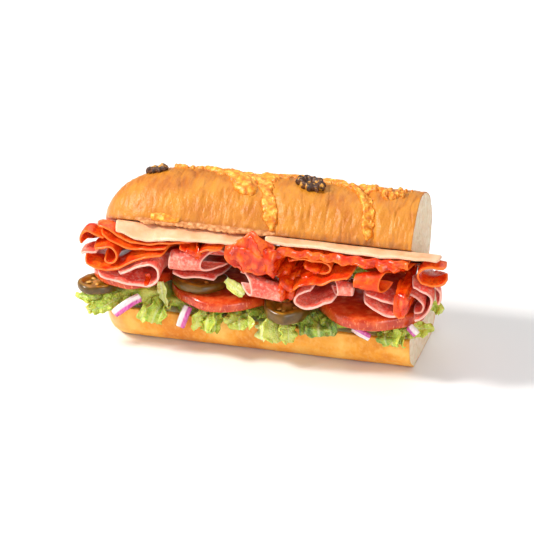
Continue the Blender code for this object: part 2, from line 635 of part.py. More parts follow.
def place_lower(s, turn, pole):
    if pole:
        return Vector((LEFT + 1 if s == 0 else RIGHT, BASE_MIDDLE, BASE_TOP - (1 if s == 0 else 9)))
    return lower_section(s, turn)


paint(loft("bread_top", upper_stations, BREAD_AROUND, place_upper), crust)
lower_stations = [0, 0.01, 0.03, 0.06, 0.10, 0.16, 0.26, 0.40, 0.55, 0.70, 0.85, 1.0, 1.0]
paint(loft("bread_bottom", lower_stations, BREAD_AROUND, place_lower), crumb)

# slices

for name, (front, back, line) in PEPPERONI_FOLDS.items():
    paint(fold(name, front, back, line, BACK_SLICE if front > 0 else PEPPERONI, 2 + len(line)), pepperoni)
for name, (front, back, line) in SALAMI_FOLDS.items():
    paint(fold(name, front, back, line, BACK_SLICE if front > 0 else SALAMI, 2 + len(line)), salami)
for name, shape in ROLLS.items():
    paint(roll(name, *shape), pepperoni if "pepperoni" in name else salami)
for name, shape in FLAPS.items():
    paint(flap(name, *shape), pepperoni)
for name, shape in CHEESE.items():
    paint(provolone(name, *shape), cheese)

# vegetables

for name, shape in TOMATOES.items():
    paint(round_slice(name, *shape, TOMATO_SIDE, 24), tomato)
for name, shape in JALAPENOS.items():
    paint(round_slice(name, *shape, PEPPER_SIDE, 16), pepper)
for name, shape in ONIONS.items():
    paint(strip(name, *shape), onion)
paint(strip("lettuce_rib", *RIB), lettuce)
leaves = [leaf(f"leaf_{i}", line, width) for i, (line, width) in enumerate(LEAVES)]
paint(joined(bed("lettuce"), leaves), lettuce)

# toppings baked on the crust

steps = (22, 9, 6, 9, 6, 8, 8)  # rings of points in each run of cheese
ribbons = [ribbon(f"ribbon_{i}", h, line, n) for i, ((h, line), n) in enumerate(zip(BAKED, steps))]
cover = ribbons.pop(0)
cover.name = "baked_cheese"
joined(cover, ribbons)
clearance = loft(
    "crust_clearance", upper_stations, BREAD_AROUND, lambda s, turn, pole: place_upper(s, turn, pole, GAP))
paint(joined(cover, [clearance], "DIFFERENCE"), baked_cheese)
paint(ribbon("baked_cheese_rim", *BAKED_RIM, 9, 0.4), baked_cheese)
for name, shape in TOASTED.items():
    paint(toasted(name, *shape), toasted_pepper)

for obj in sandwich.objects:
    for v in obj.data.vertices:
        v.co += Vector((SHIFT_X, SHIFT_Y, 0)) * MM
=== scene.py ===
"""The submarine sandwich dressed for rendering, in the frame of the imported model.

Lengths are millimetres in the tables and metres in the meshes. +X runs along the loaf to its cut end,
-Y is the open side and +Z is up.
"""

import bisect
import math
import random

import bpy
import numpy as np
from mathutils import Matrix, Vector, noise
from mathutils.bvhtree import BVHTree


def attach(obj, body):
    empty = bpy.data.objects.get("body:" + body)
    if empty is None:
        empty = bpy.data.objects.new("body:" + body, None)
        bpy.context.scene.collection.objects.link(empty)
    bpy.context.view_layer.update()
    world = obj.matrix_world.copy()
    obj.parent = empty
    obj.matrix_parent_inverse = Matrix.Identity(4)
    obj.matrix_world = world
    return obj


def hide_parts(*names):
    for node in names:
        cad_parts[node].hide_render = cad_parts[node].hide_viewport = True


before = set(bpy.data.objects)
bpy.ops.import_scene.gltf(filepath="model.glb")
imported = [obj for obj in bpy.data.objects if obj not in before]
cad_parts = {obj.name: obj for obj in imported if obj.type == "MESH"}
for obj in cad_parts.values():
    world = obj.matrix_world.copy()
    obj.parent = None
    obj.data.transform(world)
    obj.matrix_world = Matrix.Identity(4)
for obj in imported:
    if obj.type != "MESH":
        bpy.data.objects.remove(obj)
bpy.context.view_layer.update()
pick = random.Random(7)

MM = 0.001
SHIFT_X = -3.41  # moves the middle of the whole sandwich onto the origin
SHIFT_Y = 5.34

# bread
LEFT = -79.0  # rounded tip of the loaf
RIGHT = 76.0  # cut end of the loaf
HALF_WIDTH = 30.0
DOME = 29.6
TILT = math.radians(28)  # how far the upper half is opened
CUT_FRONT = 65.2  # height of the upper half's cut edge at the front
FRONT = -30.0
SLANT = math.radians(3)  # the cut end isn't quite square
ROUNDNESS = 2.4
CUT_MIDDLE = 13.0  # how far the middle of the upper half's cut end lies over its cut face
CRUST_LENGTH = 165.0  # millimetres along the crust for a share of 1
CRUST_RADIUS = 29.0  # millimetres over the dome for one radian
DOME_SHARE = 18 / 26  # share of the turn round the lower half that lies on its crust
BASE_TOP = 18.6  # cut face of the lower half
BASE_HALF = 29.9
BASE_DEEP = 21.5  # depth of the lower half's oval, which the flat base cuts off
BASE_ROUNDNESS = 2.5
BASE_MIDDLE = -0.75
BASE_BACK = 28.5
SCORES = ((0.42, -14.0, 23.0), (0.75, 37.0, 20.0))  # share of the length, x on the crown, run to the front
SCORE_DEPTH = 2.0
SCORE_WIDTH = 3.4

# filling
VEG_TOP = 32.5
CHEESE_BOTTOM = 62.65
STACK_TOP = 64.75
FRONT_DROOP = 5.0
DROOP_SHARE = ((18.6, 0.0), (45.0, 0.57), (50.0, 0.55), (56.0, 0.46), (64.75, 0.3))
OVERHANG_FROM = 77.0  # slices that reach past this narrow towards the back
PEPPERONI = 1.0
SALAMI = 1.1
PROVOLONE = 1.5
BACK_SLICE = 2.2  # slices near the hinge side, before they are pressed flat

YC = FRONT + HALF_WIDTH * math.cos(TILT)
ZC = CUT_FRONT - HALF_WIDTH * math.sin(TILT)

# light and camera
SKY = 0.4
TARGET = (-0.00797, 0.01768, 0.02810)
TOWARDS_CAMERA = (0.2346, -0.8754, 0.4226)
DISTANCE = 1.8
LENS = 251.0


def clamp(v, low=0.0, high=1.0):
    return max(low, min(high, v))


def lerp(a, b, t):
    return a + (b - a) * t


def soft(t):
    t = clamp(t)
    return t * t * (3 - 2 * t)


def along(table, v):
    """Straight-line reading of a table of (place, value) pairs."""
    if v <= table[0][0]:
        return table[0][1]
    if v >= table[-1][0]:
        return table[-1][1]
    i = bisect.bisect_right([row[0] for row in table], v)
    (a, p), (b, q) = table[i - 1], table[i]
    return lerp(p, q, (v - a) / (b - a))


def smooth_line(points, t):
    """A Catmull-Rom curve through the points, read at t from 0 to 1 by length."""
    lengths = [0.0]
    for a, b in zip(points, points[1:]):
        lengths.append(lengths[-1] + math.dist(a, b))
    want = clamp(t) * lengths[-1]
    i = min(max(bisect.bisect_right(lengths, want) - 1, 0), len(points) - 2)
    u = (want - lengths[i]) / (lengths[i + 1] - lengths[i])
    p1, p2 = points[i], points[i + 1]
    p0 = points[i - 1] if i else [2 * a - b for a, b in zip(p1, p2)]
    p3 = points[i + 2] if i + 2 < len(points) else [2 * b - a for a, b in zip(p1, p2)]
    return tuple(
        0.5 * (2 * b + (c - a) * u + (2 * a - 5 * b + 4 * c - d) * u * u + (3 * b - a - 3 * c + d) * u ** 3)
        for a, b, c, d in zip(p0, p1, p2, p3)
    )


def rough(x, y, z, size, seed=0.0):
    """Smooth noise between about -1 and 1 with lumps of that size."""
    return noise.noise(Vector((x / size + seed, y / size - seed, z / size + 2 * seed)))


# frames of the bread

def tip(x, reach, power):
    """1 along the loaf, falling to 0 at its rounded tip."""
    t = clamp((x - LEFT) / reach)
    return (1 - (1 - t) ** power) ** (1 / power)


def upper_cut(y):
    """Height of the upper half's cut face."""
    return CUT_FRONT - (y - FRONT) * math.tan(TILT)


def score_x(k, phi):
    _, crown, run = SCORES[k]
    c = math.cos(phi)
    return crown + run * math.copysign(abs(c) ** 0.8, c)


def upper_x(s, phi, q):
    end = RIGHT - (q + HALF_WIDTH) * math.tan(SLANT)
    return along(((0, LEFT), (SCORES[0][0], score_x(0, phi)), (SCORES[1][0], score_x(1, phi)), (1, end)), s)


def dome(phi):
    c, w = math.cos(phi), math.sin(phi)
    rho = (abs(c) ** ROUNDNESS + abs(w) ** ROUNDNESS) ** (-1 / ROUNDNESS)
    return -HALF_WIDTH * c * rho, DOME * w * rho


def upper_raw(s, phi):
    q, r = dome(phi)
    x = upper_x(s, phi, q)
    q *= tip(x, 30, 2.3)
    r *= tip(x, 44, 2.1)
    return x, YC + q * math.cos(TILT) + r * math.sin(TILT), ZC - q * math.sin(TILT) + r * math.cos(TILT)


def score_groove(s):
    return sum(math.exp(-(((s - k[0]) * (RIGHT - LEFT) / SCORE_WIDTH) ** 2)) for k in SCORES)


def upper_bread(s, phi, lift=0.0):
    """A point of the upper crust: s from tip to cut end, phi from the front cut edge over to the back one."""
    e = 0.004
    p = Vector(upper_raw(s, phi))
    ds = Vector(upper_raw(min(s + e, 1), phi)) - Vector(upper_raw(max(s - e, 0), phi))
    dp = Vector(upper_raw(s, min(phi + e, math.pi))) - Vector(upper_raw(s, max(phi - e, 0)))
    n = dp.cross(ds)
    n = n.normalized() if n.length > 1e-9 else Vector((-1, 0, 0))
    if n.dot(p - Vector((p.x, YC, ZC))) < 0:
        n = -n
    return p + n * (lift - SCORE_DEPTH * score_groove(s) * clamp(s / 0.05))


def over_crust(s, phi, ds, dphi, lift):
    """The crust point that lies ds along and dphi round from (s, phi), both in millimetres."""
    around = clamp(math.radians(phi) + dphi / CRUST_RADIUS, 0.012, 3.12)
    return upper_bread(clamp(s + ds / CRUST_LENGTH, 0.002, 1), around, lift)


def settle(p):
    """Takes a point of the loose stack to where it lies under the upper half and over the front edge."""
    x, y, z = p
    if z <= BASE_TOP:
        return Vector(p)
    inner = clamp(x, -OVERHANG_FROM, OVERHANG_FROM)
    x = inner + (x - inner) * lerp(1, 0.3, clamp((y + 34) / 34))
    if y <= FRONT:
        return Vector((x, y, z - FRONT_DROOP * ((FRONT - y) / 11) ** 1.5 * along(DROOP_SHARE, z)))
    top = upper_cut(y) - (CUT_FRONT - STACK_TOP)
    meat_top = top - (STACK_TOP - CHEESE_BOTTOM)
    veg_top = BASE_TOP + (VEG_TOP - BASE_TOP) * lerp(1, 0.72, clamp((y - FRONT) / 40))
    levels = ((BASE_TOP, BASE_TOP), (VEG_TOP, veg_top), (CHEESE_BOTTOM, meat_top), (STACK_TOP, top))
    return Vector((x, y, along(levels, z) if z < STACK_TOP else top + z - STACK_TOP))


# materials

def linear(colour):
    """Three screen values from 0 to 255 made linear; a colour of four values is linear already."""
    if len(colour) == 4:
        return colour
    values = [v / 255 for v in colour]
    return (*(v / 12.92 if v <= 0.04045 else ((v + 0.055) / 1.055) ** 2.4 for v in values), 1.0)


class Look:
    """A material built up node by node on its Principled shader."""

    def __init__(self, name, roughness, **settings):
        self.material = bpy.data.materials.new(name)
        self.material.use_nodes = True
        self.tree = self.material.node_tree
        self.shader = self.tree.nodes["Principled BSDF"]
        for key, value in {"Roughness": roughness, **settings}.items():
            self.shader.inputs[key.replace("_", " ")].default_value = value
        self.coords = self.tree.nodes.new("ShaderNodeTexCoord").outputs["Object"]

    def put(self, socket, value):
        """Links a socket's value, or sets it where the value is a plain one."""
        if isinstance(value, bpy.types.NodeSocket):
            self.tree.links.new(value, socket)
        else:
            socket.default_value = value

    def node(self, kind, **inputs):
        made = self.tree.nodes.new(kind)
        for key, value in inputs.items():
            self.put(made.inputs[key.replace("_", " ")], value)
        return made

    def scaled(self, stretch=(1, 1, 1), shift=(0, 0, 0)):
        return self.node("ShaderNodeMapping", Vector=self.coords, Scale=stretch, Location=shift).outputs[0]

    def noise(self, size, detail=3.0, stretch=(1, 1, 1), shift=(0, 0, 0)):
        """Noise from 0 to 1 with features of that size in millimetres."""
        place = self.scaled(stretch, shift)
        return self.node("ShaderNodeTexNoise", Vector=place, Scale=1000 / size, Detail=detail).outputs[0]

    def cells(self, size, feature="F1"):
        made = self.node("ShaderNodeTexVoronoi", Vector=self.scaled(), Scale=1000 / size)
        made.feature = feature
        return made.outputs["Distance"]

    def attribute(self, name):
        made = self.tree.nodes.new("ShaderNodeAttribute")
        made.attribute_name = name
        return made.outputs["Fac"]

    def ramp(self, value, first, *rest):
        """Colours along a value, as (place, colour) rows in rising order."""
        made = self.node("ShaderNodeValToRGB", Fac=value)
        stops = made.color_ramp.elements
        for stop, (place, colour) in ((stops[0], first), (stops[1], rest[-1])):
            stop.position = place
            stop.color = linear(colour)
        for place, colour in rest[:-1]:
            stops.new(place).color = linear(colour)
        return made.outputs[0]

    def level(self, value, low, high, to_low=0.0, to_high=1.0):
        made = self.node("ShaderNodeMapRange", Value=value)
        for i, number in enumerate((low, high, to_low, to_high)):
            made.inputs[i + 1].default_value = number
        return made.outputs[0]

    def mix(self, factor, a, b):
        made = self.tree.nodes.new("ShaderNodeMix")
        made.data_type = "RGBA"
        for i, value in ((0, factor), (6, a), (7, b)):
            self.put(made.inputs[i], linear(value) if isinstance(value, tuple) else value)
        return made.outputs[2]

    def tint(self, base, colour, value, low=0.0, high=1.0, share=1.0):
        """The base taken that share of the way to the colour as the value goes from low to high."""
        return self.mix(self.level(value, low, high, 0, share), base, colour)

    def maths(self, operation, a, b):
        made = self.tree.nodes.new("ShaderNodeMath")
        made.operation = operation
        self.put(made.inputs[0], a)
        self.put(made.inputs[1], b)
        return made.outputs[0]

    def finish(self, base, depth, strength, height, more=None):
        """The material with its colour, and bumps that many millimetres deep from the heights."""
        if more:
            height = self.maths("ADD", height, more)
        bump = self.node("ShaderNodeBump", Height=height, Distance=depth * MM, Strength=strength)
        self.put(self.shader.inputs["Base Color"], base)
        self.put(self.shader.inputs["Normal"], bump.outputs[0])
        return self.material


def crust_look():
    look = Look("Golden Crust", 0.42, Specular_IOR_Level=0.4)
    streaks = look.noise(2.4, 3, (1, 0.35, 0.35))
    base = look.ramp(look.noise(15, 4), (0.36, (186, 102, 12)), (0.5, (198, 118, 20)), (0.64, (208, 132, 30)))
    base = look.tint(base, (230, 158, 56), streaks, 0.42, 0.64, 0.3)
    # painted shade: the crust is darkened towards brown in its creases, where shade falls
    base = look.tint(base, (158, 78, 8), look.attribute("crease"), share=0.28)
    base = look.tint(base, (232, 158, 72), look.attribute("low"), share=0.25)
    base = look.tint(base, (222, 144, 58), look.attribute("groove"), share=0.3)
    base = look.mix(look.attribute("edge"), base, (150, 84, 36))
    fine = look.maths("MULTIPLY", look.noise(1.0, 3), 0.35)
    return look.finish(base, 0.9, 0.85, look.maths("MULTIPLY", streaks, 0.8), fine)


def lower_crust_look():
    look = Look("Lower Crust", 0.55)
    fine = look.noise(1.6, 3, (1, 0.6, 0.6))
    base = look.ramp(look.noise(14, 4), (0.34, (226, 132, 20)), (0.5, (244, 160, 38)), (0.66, (254, 194, 90)))
    base = look.tint(base, (255, 206, 120), fine, 0.46, 0.68, 0.3)
    base = look.mix(look.attribute("edge"), base, (248, 214, 172))
    grain = look.maths("MULTIPLY", look.noise(0.7, 2), 0.4)
    return look.finish(base, 0.7, 0.9, look.maths("MULTIPLY", fine, 0.7), grain)


def crumb_look():
    look = Look("Bread Crumb", 0.85, Subsurface_Weight=0.25, Subsurface_Scale=0.002)
    pores = look.cells(2.6)
    soft_noise = look.noise(3.5, 5)
    base = look.ramp(soft_noise, (0.3, (236, 208, 172)), (0.5, (246, 222, 190)), (0.72, (252, 236, 212)))
    # painted shade: the crumb is darkened in its pores
    base = look.tint(base, (214, 182, 142), pores, 0.34, 0.08, 0.3)
    return look.finish(base, 0.7, 0.8, look.level(pores, 0.05, 0.4), soft_noise)


def torn_look():
    look = Look("Shaded Torn Crumb", 0.8)
    # the strip's browns are partly torn crust and partly painted shade, the crumb darkened where it lies under
    # the upper crust's edge
    base = look.ramp(look.noise(2.0, 4), (0.3, (170, 98, 44)), (0.5, (204, 134, 76)), (0.7, (234, 174, 120)))
    return look.finish(base, 0.5, 0.9, look.noise(1.2, 4))


def baked_cheese_look():
    look = Look("Baked Cheese", 0.4, Subsurface_Weight=0.15, Subsurface_Scale=0.001)
    lumps = look.noise(2.4, 4)
    base = look.ramp(lumps, (0.34, (214, 114, 12)), (0.5, (238, 150, 30)), (0.66, (252, 196, 84)))
    base = look.tint(base, (214, 118, 26), look.attribute("thin"), 0.2, 1.0, 0.5)
    return look.finish(base, 0.6, 0.8, lumps, look.maths("MULTIPLY", look.noise(0.9, 3), 0.5))


def toasted_look():
    look = Look("Toasted Pepper", 0.4)
    base = look.ramp(look.noise(1.8, 4), (0.3, (38, 20, 10)), (0.5, (70, 38, 20)), (0.7, (112, 66, 30)))
    base = look.tint(base, (214, 150, 52), look.noise(2.6, 3, shift=(0.01, 0, 0)), 0.57, 0.64, 0.9)
    return look.finish(base, 0.5, 0.9, look.noise(0.9, 4))


def provolone_look():
    look = Look("Provolone", 0.38, Subsurface_Weight=0.3, Subsurface_Scale=0.003)
    base = look.ramp(look.noise(9, 3), (0.35, (234, 166, 118)), (0.65, (246, 196, 156)))
    base = look.tint(base, (244, 212, 182), look.attribute("rim"), 1.6, 0.0, 0.5)
    return look.finish(base, 0.15, 0.5, look.noise(1.6, 3))


def pepperoni_look():
    look = Look("Pepperoni", 0.3, Specular_IOR_Level=0.3, Coat_Weight=0.12, Coat_Roughness=0.2,
                Subsurface_Weight=0.12, Subsurface_Scale=0.001)
    grain = look.noise(1.5, 4)
    broad = look.noise(7, 3)
    flecks = look.cells(1.7)
    base = look.ramp(broad, (0.36, (214, 48, 8)), (0.5, (242, 80, 16)), (0.64, (254, 112, 28)))
    base = look.tint(base, (196, 34, 10), grain, 0.45, 0.62, 0.55)
    base = look.tint(base, (250, 140, 72), flecks, 0.22, 0.08, 0.5)
    # painted highlight: the slices' rims are lightened to bright orange where their thin edges catch the light
    base = look.tint(base, (252, 128, 44), look.attribute("rim"), 0.9, 0.15, 0.8)
    under_sauce = look.mix(look.level(broad, 0.38, 0.62), (198, 38, 4), (238, 90, 20))
    base = look.mix(look.attribute("sauce"), base, under_sauce)
    gloss = look.mix(look.attribute("sauce"), look.level(grain, 0.3, 0.7, 0.24, 0.42), (0.18, 0.18, 0.18, 1))
    look.put(look.shader.inputs["Roughness"], gloss)
    return look.finish(base, 0.22, 0.6, grain, look.level(flecks, 0.3, 0.05, 0, 0.6))


def salami_look():
    look = Look("Salami", 0.34, Specular_IOR_Level=0.35, Coat_Weight=0.1, Coat_Roughness=0.25,
                Subsurface_Weight=0.2, Subsurface_Scale=0.0015)
    grain = look.noise(1.0, 4, shift=(0.02, 0, 0))
    fat = look.noise(1.6, 5, shift=(0.01, 0.03, 0))
    base = look.ramp(look.noise(6, 3), (0.36, (234, 88, 72)), (0.5, (250, 120, 98)), (0.64, (255, 152, 128)))
    base = look.tint(base, (200, 52, 44), grain, 0.45, 0.62, 0.5)
    base = look.tint(base, (248, 184, 168), fat, 0.53, 0.64, 0.6)
    base = look.tint(base, (250, 196, 178), look.attribute("rim"), 1.1, 0.2, 0.85)
    return look.finish(base, 0.22, 0.7, grain, look.level(fat, 0.5, 0.64, 0, 0.5))


def tomato_look():
    look = Look("Tomato", 0.25, Coat_Weight=0.3, Coat_Roughness=0.1,
                Subsurface_Weight=0.2, Subsurface_Scale=0.002)
    flesh = look.ramp(look.noise(4, 4), (0.3, (200, 52, 16)), (0.5, (220, 78, 30)), (0.7, (238, 118, 60)))
    skin = look.ramp(look.noise(5, 4), (0.3, (178, 40, 8)), (0.5, (204, 66, 18)), (0.7, (226, 96, 34)))
    skin = look.tint(skin, (252, 160, 100), look.noise(0.9, 3, (1, 1, 0.4)), 0.58, 0.68, 0.5)
    return look.finish(look.mix(look.attribute("skin"), flesh, skin), 0.25, 0.5, look.noise(2.2, 3))


def pepper_look():
    look = Look("Pickled Jalapeno", 0.3, Coat_Weight=0.2, Coat_Roughness=0.15,
                Subsurface_Weight=0.15, Subsurface_Scale=0.0015)
    flesh = look.ramp(look.noise(3.5, 4), (0.3, (112, 74, 10)), (0.5, (146, 100, 20)), (0.7, (180, 130, 38)))
    skin = look.ramp(look.noise(4.5, 4), (0.3, (70, 50, 6)), (0.5, (96, 68, 10)), (0.7, (124, 88, 18)))
    flesh = look.mix(look.attribute("core"), flesh, (214, 150, 84))
    return look.finish(look.mix(look.attribute("skin"), flesh, skin), 0.2, 0.5, look.noise(1.8, 3))


def seed_look():
    look = Look("Pepper Seed", 0.3)
    base = look.ramp(look.noise(1.0, 2), (0.3, (196, 140, 48)), (0.7, (232, 186, 92)))
    look.put(look.shader.inputs["Base Color"], base)
    return look.material


def onion_look():
    look = Look("Red Onion", 0.22, Coat_Weight=0.3, Coat_Roughness=0.12,
                Subsurface_Weight=0.3, Subsurface_Scale=0.002)
    lines = look.noise(0.9, 3, (1, 0.3, 0.3))
    purple = look.tint((196, 70, 148), (226, 128, 190), lines, 0.4, 0.62, 0.7)
    pale = look.tint((236, 222, 222), (250, 244, 240), lines, 0.4, 0.6, 0.6)
    return look.finish(look.mix(look.attribute("purple"), pale, purple), 0.12, 0.5, lines)


def lettuce_look():
    look = Look("Lettuce", 0.3, Coat_Weight=0.2, Coat_Roughness=0.2,
                Subsurface_Weight=0.3, Subsurface_Scale=0.002)
    veins = look.cells(1.7, "DISTANCE_TO_EDGE")
    patch = look.noise(3.0, 3)
    base = look.ramp(
        look.attribute("tone"), (0.0, (230, 236, 176)), (0.3, (214, 224, 106)), (0.55, (186, 208, 66)),
        (0.8, (122, 162, 48)), (1.0, (56, 92, 32)))
    base = look.tint(base, (208, 208, 78), patch, 0.4, 0.7, 0.4)
    base = look.tint(base, (212, 220, 130), veins, 0.08, 0.0, 0.25)
    base = look.mix(look.attribute("rib"), base, (226, 232, 178))
    return look.finish(base, 0.35, 0.7, look.level(veins, 0.0, 0.2), patch)


def sauce_look():
    look = Look("Red Sauce", 0.16, Specular_IOR_Level=0.35, Coat_Weight=0.35, Coat_Roughness=0.08,
                Subsurface_Weight=0.1, Subsurface_Scale=0.001)
    base = look.ramp(look.noise(4, 4), (0.34, (196, 34, 2)), (0.5, (226, 64, 8)), (0.66, (248, 106, 24)))
    base = look.tint(base, (120, 22, 8), look.noise(0.8, 2), 0.64, 0.7, 0.8)
    return look.finish(base, 0.3, 0.5, look.noise(1.8, 3))


def floor_look():
    look = Look("Pale Floor", 0.9, Specular_IOR_Level=0.1)
    base = look.ramp(look.noise(220, 2), (0.3, (0.90, 0.90, 0.90, 1)), (0.7, (0.93, 0.93, 0.93, 1)))
    look.put(look.shader.inputs["Base Color"], base)
    return look.material


CRUST = crust_look()
LOWER_CRUST = lower_crust_look()
CRUMB = crumb_look()
TORN = torn_look()
BAKED_CHEESE = baked_cheese_look()
TOASTED_PEPPER = toasted_look()
CHEESE_SLICE = provolone_look()
PEPPERONI_SLICE = pepperoni_look()
SALAMI_SLICE = salami_look()
TOMATO = tomato_look()
PEPPER = pepper_look()
SEED = seed_look()
ONION = onion_look()
LETTUCE = lettuce_look()
SAUCE = sauce_look()


# meshes

UNDER_SAUCE = []  # points and faces of the slices that sauce lies on


class Piece:
    """Points, faces and per-point values gathered into one mesh object."""

    def __init__(self):
        self.points, self.faces, self.which, self.values = [], [], [], {}

    def add(self, points, faces, material=0, **values):
        start = len(self.points)
        self.points.extend(tuple(p) for p in points)
        self.faces.extend(tuple(i + start for i in f) for f in faces)
        self.which.extend(material if isinstance(material, list) else [material] * len(faces))
        for key in set(self.values) | set(values):
            row = self.values.setdefault(key, [0.0] * start)
            given = values.get(key, 0.0)
            row.extend(given if isinstance(given, (list, np.ndarray)) else [given] * len(points))
        return self

    def finish(self, name, slot, nodes, *materials):
        if slot in ("pepperoni", "salami"):
            UNDER_SAUCE.append((list(self.points), list(self.faces)))
        mesh = bpy.data.meshes.new(name)
        points = (np.array(self.points, float) + (SHIFT_X, SHIFT_Y, 0)) * MM
        mesh.from_pydata(points.tolist(), [], self.faces, shade_flat=False)
        for made in materials:
            mesh.materials.append(made)
        mesh.polygons.foreach_set("material_index", self.which)
        for key, row in self.values.items():
            mesh.attributes.new(key, "FLOAT", "POINT").data.foreach_set("value", row)
        mesh.update()
        obj = bpy.data.objects.new(name, mesh)
        bpy.context.scene.collection.objects.link(obj)
        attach(obj, "root")
        if nodes:
            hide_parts(*nodes)
        return obj


def loft(stations, around, place):
    """Points and faces of a closed body of rings and two poles, laid where place(station, turn, pole) says."""
    last = len(stations) - 1
    points = [place(stations[0], 0, True)]
    for station in stations[1:-1]:
        points.extend(place(station, k / around, False) for k in range(around))
    end = len(points)
    points.append(place(stations[last], 0, True))
    faces = [(0, 1 + (k + 1) % around, 1 + k) for k in range(around)]
    for i in range(last - 2):
        a, b = 1 + i * around, 1 + (i + 1) * around
        faces.extend((a + k, a + (k + 1) % around, b + (k + 1) % around, b + k) for k in range(around))
    a = 1 + (last - 2) * around
    faces.extend((a + k, a + (k + 1) % around, end) for k in range(around))
    return outward(points, faces)


def outward(points, faces):
    """Turns the faces over if they enclose a negative volume."""
    p = np.array(points, float)
    middle = p.mean(0)
    volume = 0.0
    for f in faces:
        a = p[f[0]] - middle
        for j in range(1, len(f) - 1):
            volume += a @ np.cross(p[f[j]] - middle, p[f[j + 1]] - middle)
    return points, faces if volume >= 0 else [tuple(reversed(f)) for f in faces]


def spread(count):
    """Values from -1 to 1 with one more close to each end."""
    inner = list(np.linspace(-1, 1, count))
    step = inner[1] - inner[0]
    return [-1, -1 + step * 0.22, *inner[1:-1], 1 - step * 0.22, 1]


def slab(place, across, deep, thickness, bevel=None):
    """Points, faces and rim distances of a sheet laid where place(a, b) says, with rounded rims."""
    us, vs = spread(across), spread(deep)
    mid = place
    if callable(place):
        mid = np.array([[place(a, b)[:] for b in vs] for a in us], float)
    nu, nv = len(us), len(vs)
    normal = np.cross(np.gradient(mid, axis=0), np.gradient(mid, axis=1))
    length = np.linalg.norm(normal, axis=2, keepdims=True)
    normal /= np.maximum(length, 1e-12)
    du = np.linalg.norm(np.diff(mid, axis=0), axis=2)
    dv = np.linalg.norm(np.diff(mid, axis=1), axis=2)
    u0 = np.vstack([np.zeros((1, nv)), np.cumsum(du, 0)])
    v0 = np.hstack([np.zeros((nu, 1)), np.cumsum(dv, 1)])
    rim = np.minimum(np.minimum(u0, u0[-1] - u0), np.minimum(v0, v0[:, -1:] - v0))
    bulge = np.sqrt(1 - (1 - np.clip(rim / (bevel or thickness * 0.5), 0, 1)) ** 2)
    thin = 0.08 if bevel else 0.3
    half = (thickness / 2 * (thin + (1 - thin) * bulge))[..., None]
    points = np.vstack([(mid + normal * half).reshape(-1, 3), (mid - normal * half).reshape(-1, 3)])
    low = nu * nv
    faces = []
    for i in range(nu - 1):
        for j in range(nv - 1):
            k = i * nv + j
            faces.append((k, k + nv, k + nv + 1, k + 1))
            faces.append((low + k, low + k + 1, low + k + nv + 1, low + k + nv))
    edge = [i * nv for i in range(nu)] + [(nu - 1) * nv + j for j in range(1, nv)]
    edge += [i * nv + nv - 1 for i in range(nu - 2, -1, -1)] + list(range(nv - 2, 0, -1))
    for k, (a, b) in enumerate(zip(edge, edge[1:] + edge[:1])):
        faces.append((b, a, low + a, low + b))
    return points, faces, np.tile(rim.reshape(-1), 2)


def disc(a, b, corner=0.14):
    """A square grid with its corners drawn in."""
    return a * (1 - corner * b * b), b * (1 - corner * a * a)


# the fold lines of the slices, seen from the front: x and height in the loose stack

